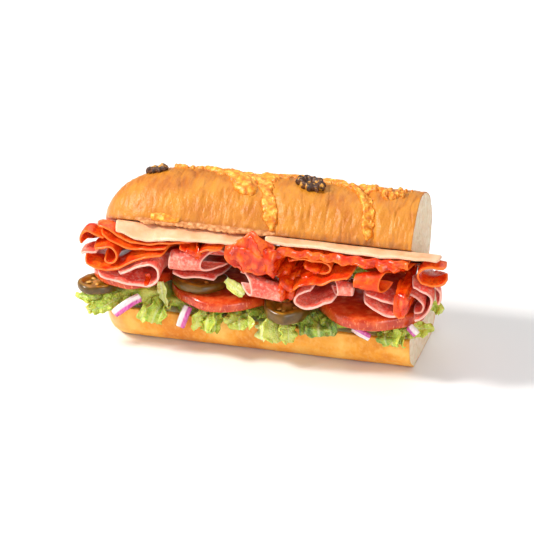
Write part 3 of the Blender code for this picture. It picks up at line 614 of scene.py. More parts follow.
PEPPERONI_FOLDS = {
    "pepperoni_middle_flat": (-36, 12, [(-8.0, 51.2), (-2.0, 51.8), (5.0, 51.4), (12.0, 51.9)]),
    "pepperoni_left_top": (-37, 12, [
        (-77.0, 61.8), (-72.9, 63.5), (-68.2, 62.3), (-62.9, 59.6), (-55.9, 57.7), (-47.4, 57.7),
        (-39.8, 59.0), (-32.0, 60.0), (-26.0, 60.3)]),
    "pepperoni_left_second": (-38, 8, [
        (-74.2, 60.9), (-71.1, 60.0), (-67.1, 57.7), (-61.1, 55.5), (-54.6, 55.2), (-47.1, 55.7),
        (-38.5, 57.0)]),
    "pepperoni_left_bulge": (-37, 2, [
        (-70.5, 57.5), (-75.4, 59.0), (-79.3, 60.8), (-82.2, 59.1), (-83.2, 55.7), (-82.2, 52.6)]),
    "pepperoni_left_roll": (-39.5, 0, [
        (-76.8, 53.1), (-72.3, 54.8), (-68.8, 55.8), (-66.1, 54.9), (-64.5, 52.2), (-64.8, 49.4),
        (-67.0, 47.6), (-69.8, 48.1), (-71.1, 50.3)]),
    "pepperoni_left_low": (-40, 14, [
        (-82.0, 48.0), (-79.6, 45.9), (-74.6, 44.9), (-69.1, 44.5), (-64.3, 45.4), (-60.1, 48.3),
        (-53.0, 52.1), (-46.0, 53.6), (-39.8, 54.3)]),
    "pepperoni_middle_left": (-39, 12, [
        (-35.3, 58.2), (-30.3, 57.4), (-25.8, 56.0), (-23.3, 57.8), (-20.3, 59.2), (-16.3, 59.7),
        (-11.8, 60.1)]),
    "pepperoni_middle_loop": (-38, 4, [
        (17.5, 56.5), (24.0, 58.7), (30.0, 59.2), (34.7, 59.1), (38.2, 58.2), (39.5, 56.6), (38.4, 54.5),
        (34.9, 53.4), (30.0, 54.5), (25.0, 55.8)]),
    "pepperoni_middle_sheet": (-42, 12, [
        (14.6, 50.6), (18.0, 47.8), (21.7, 46.6), (25.7, 49.2), (31.7, 50.8), (36.7, 51.1), (41.2, 53.6),
        (46.5, 54.6), (51.0, 55.2)]),
    "pepperoni_right_second": (-36, 14, [
        (44.0, 58.2), (49.0, 58.6), (54.0, 58.8), (60.0, 58.6), (68.0, 58.9), (78.5, 58.6)]),
    "pepperoni_right_end": (-37, 6, [
        (95.0, 60.8), (89.5, 61.5), (84.5, 61.0), (81.6, 59.0), (81.0, 56.4), (82.7, 53.9), (87.3, 52.5),
        (92.0, 53.6), (95.5, 55.5)]),
    "pepperoni_back_left": (16.8, 25.5, [
        (-68.0, 56.5), (-60.0, 59.0), (-47.0, 58.5), (-42.0, 54.0), (-46.0, 49.0), (-58.0, 47.5),
        (-64.0, 43.0), (-59.0, 38.5), (-46.0, 38.0)]),
    "pepperoni_back_middle": (16.8, 25.0, [
        (-12.0, 58.0), (-2.0, 59.5), (10.0, 57.0), (14.0, 52.0), (8.0, 47.5), (-4.0, 46.5), (-9.0, 42.0),
        (-2.0, 38.0), (12.0, 38.5)]),
    "pepperoni_back_right": (16.8, 25.5, [
        (42.0, 57.0), (54.0, 59.5), (66.0, 58.0), (70.0, 53.0), (64.0, 48.0), (50.0, 47.5), (42.2, 43.0),
        (50.0, 38.5), (66.0, 38.0)]),
}
SALAMI_FOLDS = {
    "salami_middle_flat": (-34.5, 12, [(-40.0, 42.2), (-33.0, 41.0), (-25.0, 41.6), (-16.5, 40.9)]),
    "salami_left_tip": (-38, -14, [(-83.0, 49.6), (-79.0, 50.9), (-74.4, 51.2)]),
    "salami_left": (-41.5, 8, [
        (-76.5, 42.6), (-72.5, 41.3), (-67.7, 40.2), (-58.6, 39.3), (-49.1, 39.0), (-44.9, 41.4),
        (-43.2, 45.3), (-43.9, 49.2), (-47.1, 50.7), (-51.1, 50.0), (-56.6, 47.2), (-61.6, 44.3),
        (-66.5, 42.9)]),
    "salami_middle_low": (-41.5, 6, [
        (43.4, 42.9), (37.9, 41.0), (32.9, 38.1), (28.7, 36.7), (24.9, 37.6), (23.1, 40.3), (24.4, 43.6),
        (28.4, 46.2), (33.0, 47.5)]),
    "salami_right": (-40, 10, [
        (54.0, 46.2), (58.7, 46.2), (65.7, 44.7), (71.5, 43.0), (74.0, 40.2), (72.5, 37.4), (67.8, 36.5),
        (61.8, 38.8), (56.6, 42.0), (53.9, 43.6)]),
    "salami_right_end": (-38.5, 4, [
        (77.0, 52.5), (82.0, 51.1), (86.0, 49.7), (88.0, 46.9), (87.5, 43.0), (85.5, 39.0), (81.8, 35.2),
        (78.3, 33.8)]),
    "salami_right_inner": (-37, -4, [
        (75.6, 47.6), (79.5, 46.5), (83.0, 44.1), (83.9, 41.0), (82.2, 38.2), (78.2, 36.8)]),
    "salami_right_tip": (-35, -10, [(88.6, 50.6), (91.0, 48.3), (91.3, 44.5), (90.0, 41.0)]),
    "salami_back_left": (16.8, 24.5, [
        (-37.0, 58.5), (-28.0, 59.5), (-19.0, 57.0), (-17.0, 52.5), (-24.0, 48.5), (-35.0, 47.0),
        (-37.5, 42.5), (-30.0, 38.5), (-16.5, 39.0)]),
    "salami_back_right": (16.8, 24.5, [
        (19.0, 58.0), (28.0, 59.5), (36.5, 57.5), (39.0, 52.5), (33.0, 48.0), (21.0, 47.0), (17.5, 42.5),
        (24.0, 38.5), (39.0, 39.0)]),
}

# slices rolled about a line along the loaf: thickness, x of tip and mouth, height and radius at each,
# front y, depth and how far the mouth slopes
ROLLS = {
    "salami_middle_roll": (SALAMI, -39.5, -11.5, 49.2, 50.3, 3.6, 4.8, -37.4, 12, 12.0),
    "salami_middle_cone": (SALAMI, 17.5, -6.0, 42.4, 44.6, 3.0, 4.6, -43.0, 10, 8.5),
    "salami_middle_curl": (SALAMI, 51.0, 38.6, 47.8, 47.8, 1.5, 3.1, -41.0, 7, 5.0),
    "pepperoni_right_cone": (PEPPERONI, 51.0, 69.4, 51.8, 52.4, 1.9, 4.9, -40.5, 9, 6.0),
}

# slices hanging over the front: x range, taper, height of hem and of crest along x, (y, z) inside the
# stack, and front y
FLAPS = {
    "pepperoni_peak": (
        -10.8, 12.8, 0.0, ((-10.8, 58.5), (-6, 53.5), (2, 51.8), (12.8, 52.4)),
        ((-10.8, 62.8), (-6, 64.2), (-3, 66.8), (0, 70.0), (2.6, 71.4), (6, 69.5), (10, 66.0),
         (12.8, 64.2)),
        ((6, 55.4), (-30, 55.4)), -39.6),
    "pepperoni_right_top": (
        13.4, 76.5, 0.0,
        ((13.4, 59.4), (22, 60.3), (36, 60.8), (42, 59.6), (54, 60.0), (66, 59.4), (76.5, 60.2)),
        ((13.4, 63.0), (76.5, 63.0)), ((16, 61.2), (-28, 61.3)), -37.6),
    "pepperoni_right_flap": (
        70.2, 79.0, 0.4, ((70, 41.5), (74, 38.2), (79, 40.5)),
        ((70, 50.1), (79, 50.1)), ((-6, 49.6), (-30, 49.6)), -42.4),
}

PLEAT = 1.3  # millimetres along the loaf for one radian of the pleats in the hanging slices

# cheese slices: x range, front and back y, and the droop of the front edge along x
CHEESE = {
    "provolone_left": (-68.0, 2.4, -37.4, 20, (
        (-68, 0.6), (-62, 2.0), (-56, 4.0), (-47, 4.2), (-40, 2.9), (-32, 1.9), (-25, 1.7), (-18, 1.9),
        (-3, 1.2))),
    "provolone_right": (4.6, 93.0, -37.0, 20, (
        (12, -0.9), (35, -1.1), (42, -0.6), (50, -0.9), (60, -0.5), (72, -0.8), (84, -1.0), (93, -0.2))),
}

# round slices: centre x and y, radius, bottom and top
TOMATOES = {
    "tomato_left": (-62.5, -16.5, 20, 32.1, 36.9),
    "tomato_middle": (-17.5, -13, 26, 26.4, 31.6),
    "tomato_right": (56, -12, 28, 26.2, 32.8),
}
JALAPENOS = {
    "jalapeno_left": (-77.5, -28, 10.0, 27.2, 31.6),
    "jalapeno_middle": (-28, -21.5, 13.5, 32.2, 36.8),
    "jalapeno_right": (17, -31, 11.4, 25.6, 32.6),
}

# strips with a flat oblong section: middle line, width and thickness, and the side that is purple
ONIONS = {
    "onion_left": (
        [(-54.5, -33.0, 26.8), (-58.5, -34.9, 24.8), (-63, -35.8, 21.4), (-67.5, -35.4, 17.2)], 4.4, 2.0, -1),
    "onion_middle": ([(-31.2, -32.4, 24.6), (-32.6, -35.4, 20.5), (-34.8, -34.8, 14.2)], 4.2, 2.0, -1),
    "onion_right": ([(49.2, -33.4, 23.7), (53.0, -36.2, 23.4), (58.5, -36.4, 20.8)], 3.6, 2.0, -1),
    "onion_end": ([(76.5, -34.0, 28.2), (80.5, -34.6, 24.4)], 3.8, 2.2, 1),
}
RIB = ([(-12.5, -33, 41.0), (-8, -34, 38.0), (-3, -34.5, 35.2)], 5.6, 2.2)

# leaves that show: middle line, width and tone from pale 0 to dark 1
LEAVES = (
    ([(-70, -24, 21.8), (-74, -30, 22.4), (-79.5, -33, 23.4), (-85, -33.5, 24.0)], 5, 0.35),
    ([(-66, -23, 21.5), (-70, -31, 22.0), (-74, -35, 20.5), (-78, -36.5, 18.2)], 7, 0.45),
    ([(-45, -24, 21.8), (-46, -31.5, 21.8), (-47, -35.5, 19.5), (-48.5, -36, 15.2)], 9, 0.5),
    ([(-42.5, -25, 22.5), (-43, -31, 23.4), (-43.5, -33.8, 29.5), (-44.6, -33.0, 36.2)], 6, 0.1),
    ([(-20, -24, 21.6), (-20.5, -31.5, 21.6), (-21, -35.5, 19.0), (-21.5, -36, 14.0)], 10, 0.5),
    ([(-6, -24, 21.6), (-6, -31.5, 21.6), (-5.5, -35.0, 20.0), (-5, -35.6, 16.8)], 9, 0.4),
    ([(12, -24, 21.6), (12.5, -31.5, 21.6), (13, -35.8, 19.0), (13.5, -36.5, 13.2)], 12, 0.25),
    ([(32, -24, 21.6), (32.5, -31.5, 22.4), (33.5, -36.5, 22.4), (34.5, -38.3, 19.4)], 12, 0.75),
    ([(66, -24, 21.6), (67.5, -31.5, 21.6), (69, -35.5, 20.2), (70, -36, 17.6)], 10, 0.5),
    ([(70, -20, 22.0), (75, -25, 23.0), (80, -29, 25.0), (84.5, -30, 26.0)], 8, 0.4),
    ([(-48, 18, 21.4), (-49, 25, 21.8), (-50, 31.0, 20.8), (-51, 32.5, 17.5)], 9, 0.45),
    ([(-8, 18, 21.4), (-8, 25, 21.8), (-7, 31.0, 21.2), (-6, 32.5, 18.5)], 9, 0.6),
    ([(34, 18, 21.4), (35, 25, 21.8), (36, 31.0, 20.6), (37, 32.5, 17.0)], 9, 0.4),
    ([(70, 2, 21.8), (75, 4, 22.2), (79, 5, 21.0), (80.5, 6, 17.5)], 8, 0.5),
    ([(-68, 2, 21.8), (-74, 3, 22.4), (-80, 4, 21.8), (-84, 5, 19.5)], 9, 0.4),
)
BED_TOP = ((-76, 25.6), (-67, 26.4), (-62, 30.8), (-47, 30.8), (-43, 25.6), (76, 25.4))

# baked cheese on the crust: height, then share of the length, degrees over the dome and half width
BAKED = (
    (2.0, ((0.185, 74, 2.6), (0.22, 72, 4.6), (0.27, 74, 4.5), (0.33, 68, 7), (0.38, 62, 8), (0.46, 70, 6),
           (0.50, 78, 4), (0.56, 90, 4), (0.63, 84, 4.5), (0.68, 70, 5), (0.74, 66, 5), (0.82, 68, 6),
           (0.89, 68, 5), (0.95, 70, 3))),
    (2.4, ((0.41, 62, 5), (0.417, 48, 4.0), (0.417, 32, 3.6), (0.416, 16, 3.2), (0.416, 5, 2.2))),
    (3.2, ((0.375, 58, 5.0), (0.362, 47, 5.0), (0.358, 38, 3.2))),
    (2.3, ((0.722, 66, 4.5), (0.732, 52, 4.0), (0.742, 36, 3.8), (0.738, 20, 3.6), (0.732, 6, 2.4))),
    (1.8, ((0.81, 64, 3), (0.84, 54, 4), (0.89, 56, 3.5), (0.92, 62, 2.5))),
    (2.0, ((0.42, 78, 5), (0.42, 100, 4.5), (0.42, 124, 4), (0.42, 148, 3), (0.42, 166, 2))),
    (2.0, ((0.75, 72, 5), (0.75, 96, 4.5), (0.75, 122, 4), (0.75, 146, 3), (0.75, 164, 2))),
    (2.2, ((0.14, 5.5, 1.7), (0.16, 5.5, 2.3), (0.185, 5, 2.3), (0.207, 5, 1.6))),
)
# toasted pepper: share of the length, degrees over the dome, half length, half width and height
TOASTED = {
    "toasted_jalapeno_crown": (0.566, 55, 7.4, 4.6, 3.4),
    "toasted_jalapeno_tip": (0.136, 63, 4.2, 3.4, 2.4),
}


# bread

def crust_crease(x, y, z):
    """1 in the middle of a crease of the crust and 0 away from it."""
    away = abs(rough(x + 0.12 * z, y * 0.2, z * 0.2, 3.8, 9.7))
    return clamp(1 - away / 0.15) ** 1.4 * clamp(0.4 + 1.7 * rough(x, y, z, 21, 1.1))


def crust_wrinkle(x, y, z, s, phi):
    """Height of the upper crust's wrinkles: short creases run over the dome, broad swells lie along it."""
    fine = rough(x, y * 0.4, z * 0.4, 1.6, 3.1) * 0.26 + rough(x, y * 0.3, z * 0.3, 3.2, 9.7) * 0.3
    fine -= 0.6 * crust_crease(x, y, z)
    broad = rough(x, y, z, 19, 5.3) * 0.55
    torn = rough(x, y, z, 1.6, 1.9) * 0.6 * score_groove(s)
    hem = rough(x, y, z, 3.4, 6.1) * 0.5 * clamp(1 - phi / 0.25)
    return fine + broad + torn + hem


def crumb_faces(faces, rings, around, over):
    """1 for each face of the cut end or the cut face of a half loaf, 0 for each one of its crust."""
    which = []
    for f in faces:
        first = min(f)
        lowest = min((j - 1) % around for j in f if j)
        at_end = (first - 1) // around >= rings
        which.append(int(at_end or (lowest >= over and first > around)))
    return which


def upper_loaf():
    rings, over, under = 330, 132, 44
    stations = [(0, 0)] + [(s, 0) for s in np.linspace(0.004, 1, rings)]
    stations += [(1, k) for k in (0.035, 0.08, 0.16, 0.26, 0.38, 0.5, 0.63, 0.76, 0.88)] + [(1, 1)]
    around = over + under
    end = RIGHT - HALF_WIDTH * math.tan(SLANT)
    pole = Vector((end, YC + CUT_MIDDLE * math.sin(TILT), ZC + CUT_MIDDLE * math.cos(TILT)))

    def place(station, turn, at_pole):
        s, shrink = station
        if at_pole:
            return Vector((LEFT, YC, ZC)) if s == 0 else pole
        k = round(turn * around)
        if k <= over:
            phi = math.pi * k / over
            p = upper_bread(s, phi, crust_wrinkle(*upper_raw(s, phi), s, phi) * clamp(s / 0.03))
        else:
            a, b = upper_bread(s, math.pi), upper_bread(s, 0)
            t = (k - over) / under
            p = a.lerp(b, t)
            p.z += (rough(*p, 1.7, 2.2) * 0.35 + rough(*p, 5, 8.2) * 0.3) * min(1, 8 * t * (1 - t))
        if shrink:
            p = p.lerp(pole, shrink)
            lumps = rough(*p, 2.0, 4.4) * 0.35 + rough(*p, 6.0, 1.2) * 0.5
            p.x += lumps * min(1, shrink * 8) - 0.25 * shrink
        return p

    points, faces = loft(stations, around, place)
    which = crumb_faces(faces, rings, around, over)
    groove, edge, crease, low = ([0.0] * len(points) for _ in range(4))
    for i in range(1, len(points) - 1):
        ring, k = (i - 1) // around, (i - 1) % around
        s = stations[ring + 1][0]
        groove[i] = clamp(score_groove(s) * (0.7 + 0.6 * rough(*points[i], 3, 2.0)))
        if k <= over:
            phi = math.pi * k / over
            hem = clamp(1 - phi / 0.12) * (s < 0.98)
            edge[i] = hem * clamp(0.75 + 0.8 * rough(*points[i], 4, 7.0))
            # how deep in a crease each point lies, used for the crust's painted shade in its creases
            crease[i] = crust_crease(*upper_raw(s, phi))
            low[i] = soft(1 - phi / 1.1) * clamp(0.75 + 0.9 * rough(*points[i], 12, 3.0))
    piece = Piece().add(points, faces, which, groove=groove, edge=edge, crease=crease, low=low)
    piece.finish("upper_loaf", "crust", ["bread_top"], CRUST, CRUMB)


def lower_section(s, turn):
    """The lower half: down its front, under its flat base, up the back and over the cut face."""
    x = lerp(LEFT + 1, RIGHT, s)
    t = clamp((x - LEFT - 1) / 18)
    wide = (1 - (1 - t) ** 2.6) ** (1 / 2.6)
    deep = 0.5 + 0.5 * (1 - (1 - clamp(t * 1.6)) ** 2) ** 0.5
    if turn > DOME_SHARE:
        y = lerp(BASE_BACK, FRONT, (turn - DOME_SHARE) / (1 - DOME_SHARE))
        return Vector((x, BASE_MIDDLE + (y - BASE_MIDDLE) * wide, BASE_TOP))
    phi = math.pi * turn / DOME_SHARE
    c, w = math.cos(phi), math.sin(phi)
    rho = (abs(c) ** BASE_ROUNDNESS + abs(w) ** BASE_ROUNDNESS) ** (-1 / BASE_ROUNDNESS)
    z = BASE_TOP - BASE_DEEP * w * rho * deep
    return Vector((x, BASE_MIDDLE - BASE_HALF * c * rho * wide * lerp(1, 1.03, w), max(0, z)))


def lower_loaf():
    rings, over, under = 260, 120, 36
    stations = [(0, 0)] + [(s, 0) for s in np.linspace(0.004, 1, rings)]
    stations += [(1, k) for k in (0.04, 0.1, 0.2, 0.34, 0.5, 0.66, 0.82)] + [(1, 1)]
    around = over + under
    pole = Vector((RIGHT, BASE_MIDDLE, BASE_TOP - 9))

    def place(station, turn, at_pole):
        s, shrink = station
        if at_pole:
            return Vector((LEFT + 1, BASE_MIDDLE, BASE_TOP - 1)) if s == 0 else pole
        k = round(turn * around)
        if k <= over:
            p = lower_section(s, DOME_SHARE * k / over)
            out = Vector((0, p.y - BASE_MIDDLE, p.z - BASE_TOP)).normalized()
            lump = rough(*p, 16, 4.0) * 0.5 + rough(p.x, p.y * 0.5, p.z * 0.5, 2.2, 7.0) * 0.16
            lump *= clamp(p.z / 3) * clamp(k / 4) * clamp((over - k) / 4)
            p += out * lump
            p.z = max(p.z, 0)
        else:
            p = lower_section(s, lerp(DOME_SHARE, 1, (k - over) / under) + 1e-6)
            p.z += (rough(*p, 1.8, 3.0) * 0.3 - 0.1) * clamp((k - over) / 2) * clamp((around - k) / 2)
        if shrink:
            p = p.lerp(pole, shrink)
            p.x += (rough(*p, 2.0, 5.4) * 0.35 + rough(*p, 6.0, 2.2) * 0.45) * min(1, shrink * 8)
        return p

    points, faces = loft(stations, around, place)
    which = crumb_faces(faces, rings, around, over)
    edge = [0.0] * len(points)
    for i in range(1, len(points) - 1):
        p = points[i]
        edge[i] = clamp(1 - (p[0] - LEFT) / 16) * clamp(0.8 + rough(*p, 6, 2.0)) * 0.9
    piece = Piece().add(points, faces, which, edge=edge)
    piece.finish("lower_loaf", "lower_bread", ["bread_bottom"], LOWER_CRUST, CRUMB)


def torn_strip():
    """The ragged crumb that shows under the front edge of the upper half."""
    def place(a, b):
        s = lerp(0.10, 0.43, (a + 1) / 2)
        p = upper_bread(s, 0.03)
        ends = clamp((1 - abs(a)) * 5)
        reach = (3.2 + 1.6 * rough(p.x, 0, 0, 5.0, 3.3) + 0.9 * rough(p.x, 0, 0, 1.6, 1.1)) * ends
        t = (b + 1) / 2
        z = p.z + 0.5 - 0.9 * t + 0.35 * rough(p.x, t * 4, 0, 1.5, 2.2)
        return Vector((p.x, p.y + 1.0 - (reach + 1.0) * t, z))

    points, faces, _ = slab(place, 180, 12, 1.0)
    Piece().add(points, faces).finish("torn_crumb", "crust", [], TORN)


# baked toppings

def baked_cheese():
    """A bubbly web of cheese: a height over the crust, kept only where it stands out of it."""
    rows, columns = 830, 305
    lengthwise, round_dome = np.linspace(0.09, 0.97, rows), np.linspace(0.02, 2.95, columns)
    s_grid, phi_grid = np.meshgrid(lengthwise, round_dome, indexing="ij")
    u, v = s_grid * CRUST_LENGTH, phi_grid * CRUST_RADIUS
    height = np.full(u.shape, -1.0)
    for tall, line in BAKED:
        for t in np.linspace(0, 1, 70):
            s, phi, half = smooth_line(line, t)
            ends = min(1, 0.35 + 6 * min(t, 1 - t))
            away = np.hypot(u - s * CRUST_LENGTH, v - math.radians(phi) * CRUST_RADIUS) / (half * ends)
            height = np.maximum(height, (1 - away ** 2) * tall)
    lumps = np.zeros(u.shape)
    for i, j in np.argwhere(height > -0.9):
        at = (u[i, j], v[i, j], 0)
        lumps[i, j] = rough(*at, 3.4, 1.7) * 1.5 + rough(*at, 1.3, 4.2) * 0.5 + rough(*at, 8, 6.6) * 0.9
    height = np.where(height > -0.9, height * 0.62 + lumps * 0.85 - 0.35, -1)
    keep = height > 0
    cells = keep[:-1, :-1] | keep[1:, :-1] | keep[:-1, 1:] | keep[1:, 1:]
    used = np.zeros(u.shape, bool)
    used[:-1, :-1] |= cells
    used[1:, :-1] |= cells
    used[:-1, 1:] |= cells
    used[1:, 1:] |= cells
    index = np.full(u.shape, -1)
    places = np.argwhere(used)
    points, low, thin = [], [], []
    for n, (i, j) in enumerate(places):
        index[i, j] = n
        h = clamp(height[i, j], -0.5, 3.4)
        s, phi = s_grid[i, j], phi_grid[i, j]
        points.append(upper_bread(s, phi, 0.1 + 1.5 * math.sqrt(h) if h > 0 else -0.5))
        low.append(upper_bread(s, phi, -1.0))
        thin.append(clamp(1 - h / 0.8))
    faces, count = [], {}
    n = len(points)
    for i, j in np.argwhere(cells):
        a, b, c, d = index[i, j], index[i + 1, j], index[i + 1, j + 1], index[i, j + 1]
        faces.append((a, b, c, d))
        faces.append((a + n, d + n, c + n, b + n))
        for e in ((a, b), (b, c), (c, d), (d, a)):
            count[e] = count.get(e, 0) + 1
    for a, b in count:
        if (b, a) not in count:
            faces.append((b, a, a + n, b + n))
    points, faces = outward(points + low, faces)
    piece = Piece().add(points, faces, thin=thin + thin)
    piece.finish("cheese_web", "baked_cheese", ["baked_cheese", "baked_cheese_rim"], BAKED_CHEESE)


def toasted(name, s, phi, long, wide, height):
    """A fluted slice of pepper that has curled and browned on the crust."""
    rings = [(0, 0.5), (0.18, 0.5), (0.36, 0.42), (0.5, 0.5), (0.62, 0.85), (0.74, 1.05), (0.86, 1.0)]
    rings += [(0.95, 0.8), (1.0, 0.5), (0.98, 0.2), (0.9, 0.0), (0.6, 0.0), (0.3, 0.0), (0, 0.0)]

    def place(station, turn, pole):
        share, level = station
        angle = 2 * math.pi * turn
        c, w = math.cos(angle), math.sin(angle)
        flute = 1 + 0.12 * math.cos(10 * angle + 0.6) * share + 0.16 * rough(3 * c, 3 * w, 0, 1.6, s * 9)
        r = 0 if pole else share * flute
        u, v = long * r * c, wide * r * w
        crinkle = 0.8 * rough(u, v, level * 2, 1.7, s * 5) * (level > 0.1)
        return over_crust(s, phi, u, v, 0.1 + height * level + crinkle)

    points, faces = loft(rings, 96, place)
    Piece().add(points, faces).finish(name + "_ring", "toasted_pepper", [name], TOASTED_PEPPER)


# slices

def ruffled(p, seed, amount=1.0):
    """The point moved a little, more towards the front where the slices hang free."""
    free = amount * lerp(0.35, 1.0, clamp((-20 - p.y) / 16))
    p.z += free * (0.55 * rough(p.x, p.y, 0, 6.5, seed) + 0.2 * rough(p.x, p.y, p.z, 2.4, seed + 3))
    p.y += free * 0.8 * rough(p.x, p.z, 0, 5.0, seed + 7)
    return p


def sauce_cover(points):
    """How much sauce coats each point, from 0 to 1."""
    cover = []
    for x, y, z in points:
        share = 0
        if y < -26:
            share = max(1.25 - math.hypot((x - cx) / rx, (z - cz) / rz) for cx, cz, rx, rz in SAUCED)
        cover.append(clamp(1.6 * (share + 0.7 * rough(x, y, z, 4.0, 2.0))) if share > -0.5 else 0.0)
    return cover


def finish_slice(name, sheet, slot, look):
    points, faces, rim = sheet
    piece = Piece().add(points, faces, rim=rim, sauce=sauce_cover(points))
    piece.finish(name + "_slice", slot, [name], look)


def fold(name, front, back, line, thickness, look, slot, seed):
    def place(a, b):
        a, b = disc(a, b)
        x, z = smooth_line(line, (a + 1) / 2)
        t = ((b + 1) / 2) ** 1.6
        return ruffled(settle((x, lerp(front, back, t), z)), seed)

    finish_slice(name, slab(place, 9 * len(line), 22, thickness), slot, look)


def roll(name, thickness, tip_x, mouth_x, tip_z, mouth_z, tip_r, mouth_r, front, depth, slope,
         look, slot, seed):
    def place(a, b):
        a, b = disc(a, b, 0.04)
        t = (b + 1) / 2
        theta = math.radians(lerp(-150, 160, (a + 1) / 2))
        near = (1 + math.cos(theta)) / 2
        x = lerp(tip_x, mouth_x, t) - math.copysign(slope * near * t, mouth_x - tip_x)
        radius = lerp(tip_r, mouth_r, t) * (1 + 0.05 * math.sin(5 * t + seed))
        y = front + depth * (1 - near) * lerp(0.7, 1, t)
        return ruffled(settle((x, y, lerp(tip_z, mouth_z, t) + radius * math.sin(theta))), seed, 0.5)

    finish_slice(name, slab(place, 64, 40, thickness), slot, look)


def flap_point(a, b, x0, x1, taper, hem, crest, inside, front):
    """A slice that comes out from the stack, rises to its crest and hangs down the front."""
    x = lerp(x0, x1, (a + 1) / 2)
    top = sum(along(crest, x + k) for k in (-2, -1, 0, 1, 2)) / 5
    low, base = along(hem, x), inside[1][1]
    rise = [(front + 3.2, lerp(base, top, 0.06)), (front + 1.5, lerp(base, top, 0.6)), (front + 0.4, top)]
    fall = [(front - 0.6, lerp(low, top, 0.6)), (front - 1.2, low)]
    t = (b + 1) / 2
    y, z = smooth_line([*inside, *rise, *fall], t)
    free = soft((front + 4 - y) / 4)
    y += 0.7 * free * math.sin(x / PLEAT + 0.9 * math.sin(x / 5.3))
    return lerp(x, (x0 + x1) / 2, taper * t * t) + 2.2 * taper * free * math.sin(4 * t), y, z


def flap(name, *shape, seed):
    def place(a, b):
        return ruffled(settle(flap_point(a, b, *shape)), seed, 2.0)

    across = round(1.6 * (shape[1] - shape[0])) + 14
    finish_slice(name, slab(place, across, 64, PEPPERONI), "pepperoni", PEPPERONI_SLICE)


def provolone(name, x0, x1, front, back, droop, seed):
    def place(a, b):
        a, b = disc(a, b, 0.08)
        x = lerp(x0, x1, (a + 1) / 2)
        y = lerp(front, back, ((b + 1) / 2) ** 1.4)
        out = clamp((-28 - y) / 9)
        z = (CHEESE_BOTTOM + STACK_TOP) / 2 - along(droop, x) * out ** 1.3 + 0.1
        p = settle((x, y, z))
        p.z += out * (0.8 * rough(x, 0, 0, 11.0, seed) + 0.3 * rough(x, 0, 0, 4.0, seed))
        p.y += 1.1 * out * rough(x, 0, 0, 10.0, seed + 4)
        return p

    points, faces, rim = slab(place, 110, 34, PROVOLONE)
    piece = Piece().add(points, faces, rim=rim)
    piece.finish(name + "_slice", "sliced_cheese", [name], CHEESE_SLICE)


# vegetables

def tomato(name, cx, cy, radius, z0, z1, seed):
    side = [(0, 1)] + [(r, 1) for r in (0.12, 0.24, 0.36, 0.48, 0.6, 0.72, 0.84, 0.92)]
    side += [(0.965, 0.985), (0.985, 0.93), (1.0, 0.8), (1.004, 0.6), (1.004, 0.4), (1.0, 0.2), (0.985, 0.07)]
    side += [(0.965, 0.015)] + [(r, 0) for r in (0.92, 0.8, 0.6, 0.4, 0.2)] + [(0, 0)]

    def place(station, turn, pole):
        share, level = station
        angle = 2 * math.pi * turn
        lobes = 1 + 0.012 * math.cos(5 * angle + seed) + 0.008 * math.cos(9 * angle + 2 * seed)
        r = 0 if pole else radius * share * lobes
        x, y = cx + r * math.cos(angle), cy + r * math.sin(angle)
        lobe = 0.5 + 0.5 * math.cos(5 * angle + seed)
        pocket = 0.35 * clamp(1 - abs(share - 0.62) / 0.22) * lobe * (level > 0.99)
        p = settle((x, y, lerp(z0, z1, level) - pocket))
        p.z += 0.22 * rough(x, y, 0, 7, seed) + 0.08 * rough(x, y, level, 2, seed + 2)
        return p

    points, faces = loft(side, 170, place)
    skin = [0.0] + [clamp((row[0] - 0.955) * 60) for row in side[1:-1] for _ in range(170)] + [0.0]
    Piece().add(points, faces, skin=skin).finish(name + "_slice", "tomato", [name], TOMATO)


def jalapeno(name, cx, cy, radius, z0, z1, seed):
    """A pickled ring: thick wall, a sunken seed chamber and its pale core."""
    side = [(0, 0.80), (0.10, 0.80), (0.2, 0.78), (0.3, 0.66), (0.42, 0.62), (0.56, 0.63), (0.64, 0.76)]
    side += [(0.7, 0.9), (0.76, 0.97), (0.84, 1.0), (0.9, 0.99), (0.94, 0.96), (0.975, 0.88), (0.995, 0.74)]
    side += [(1.0, 0.58), (0.99, 0.42), (0.975, 0.26), (0.94, 0.1), (0.88, 0.02), (0.8, 0.0), (0.5, 0.0)]
    side += [(0.2, 0.0), (0, 0)]

    def at(share, level, angle):
        lobes = 1 + 0.035 * math.cos(3 * angle + seed) + 0.015 * math.cos(7 * angle + seed)
        inner = 1 + 0.16 * math.cos(3 * angle + 1 + seed) * clamp(1 - abs(share - 0.6) * 4)
        r = radius * share * lobes * (inner if level > 0.5 and share < 0.8 else 1)
        x, y = cx + r * math.cos(angle), cy + r * math.sin(angle)
        p = settle((x, y, lerp(z0, z1, level)))
        p.z += 0.15 * rough(x, y, level, 3, seed)
        return p

    def place(station, turn, pole):
        return at(0 if pole else station[0], station[1], 2 * math.pi * turn)

    points, faces = loft(side, 120, place)
    skin = [0.0] + [clamp((row[0] - 0.90) * 22) for row in side[1:-1] for _ in range(120)] + [0.0]
    core = [clamp(1 - r / 0.3) if level > 0.5 else 0 for r, level in side[1:-1] for _ in range(120)]
    piece = Piece().add(points, faces, 0, skin=skin, core=[0.0, *core, 0.0])
    for i in range(5):
        angle = 2 * math.pi * (i + 0.35 * math.sin(3 * i + seed)) / 5
        middle = at(0.44, 0.66, angle)
        turn = Vector((math.cos(angle), math.sin(angle), 0))
        flat = Vector((-turn.y, turn.x, 0))

        def seed_point(t, w, pole):
            belly = 0 if pole else math.sin(math.pi * t)
            across = flat * math.cos(2 * math.pi * w) + Vector((0, 0, 0.45 * math.sin(2 * math.pi * w)))
            return middle + turn * (1.4 * math.cos(math.pi * t)) + Vector((0, 0, 0.35)) + across * belly

        piece.add(*loft([0, 0.08, 0.25, 0.42, 0.58, 0.75, 0.92, 1], 14, seed_point), 1)
    piece.finish(name + "_ring", "pickled_pepper", [name], PEPPER, SEED)


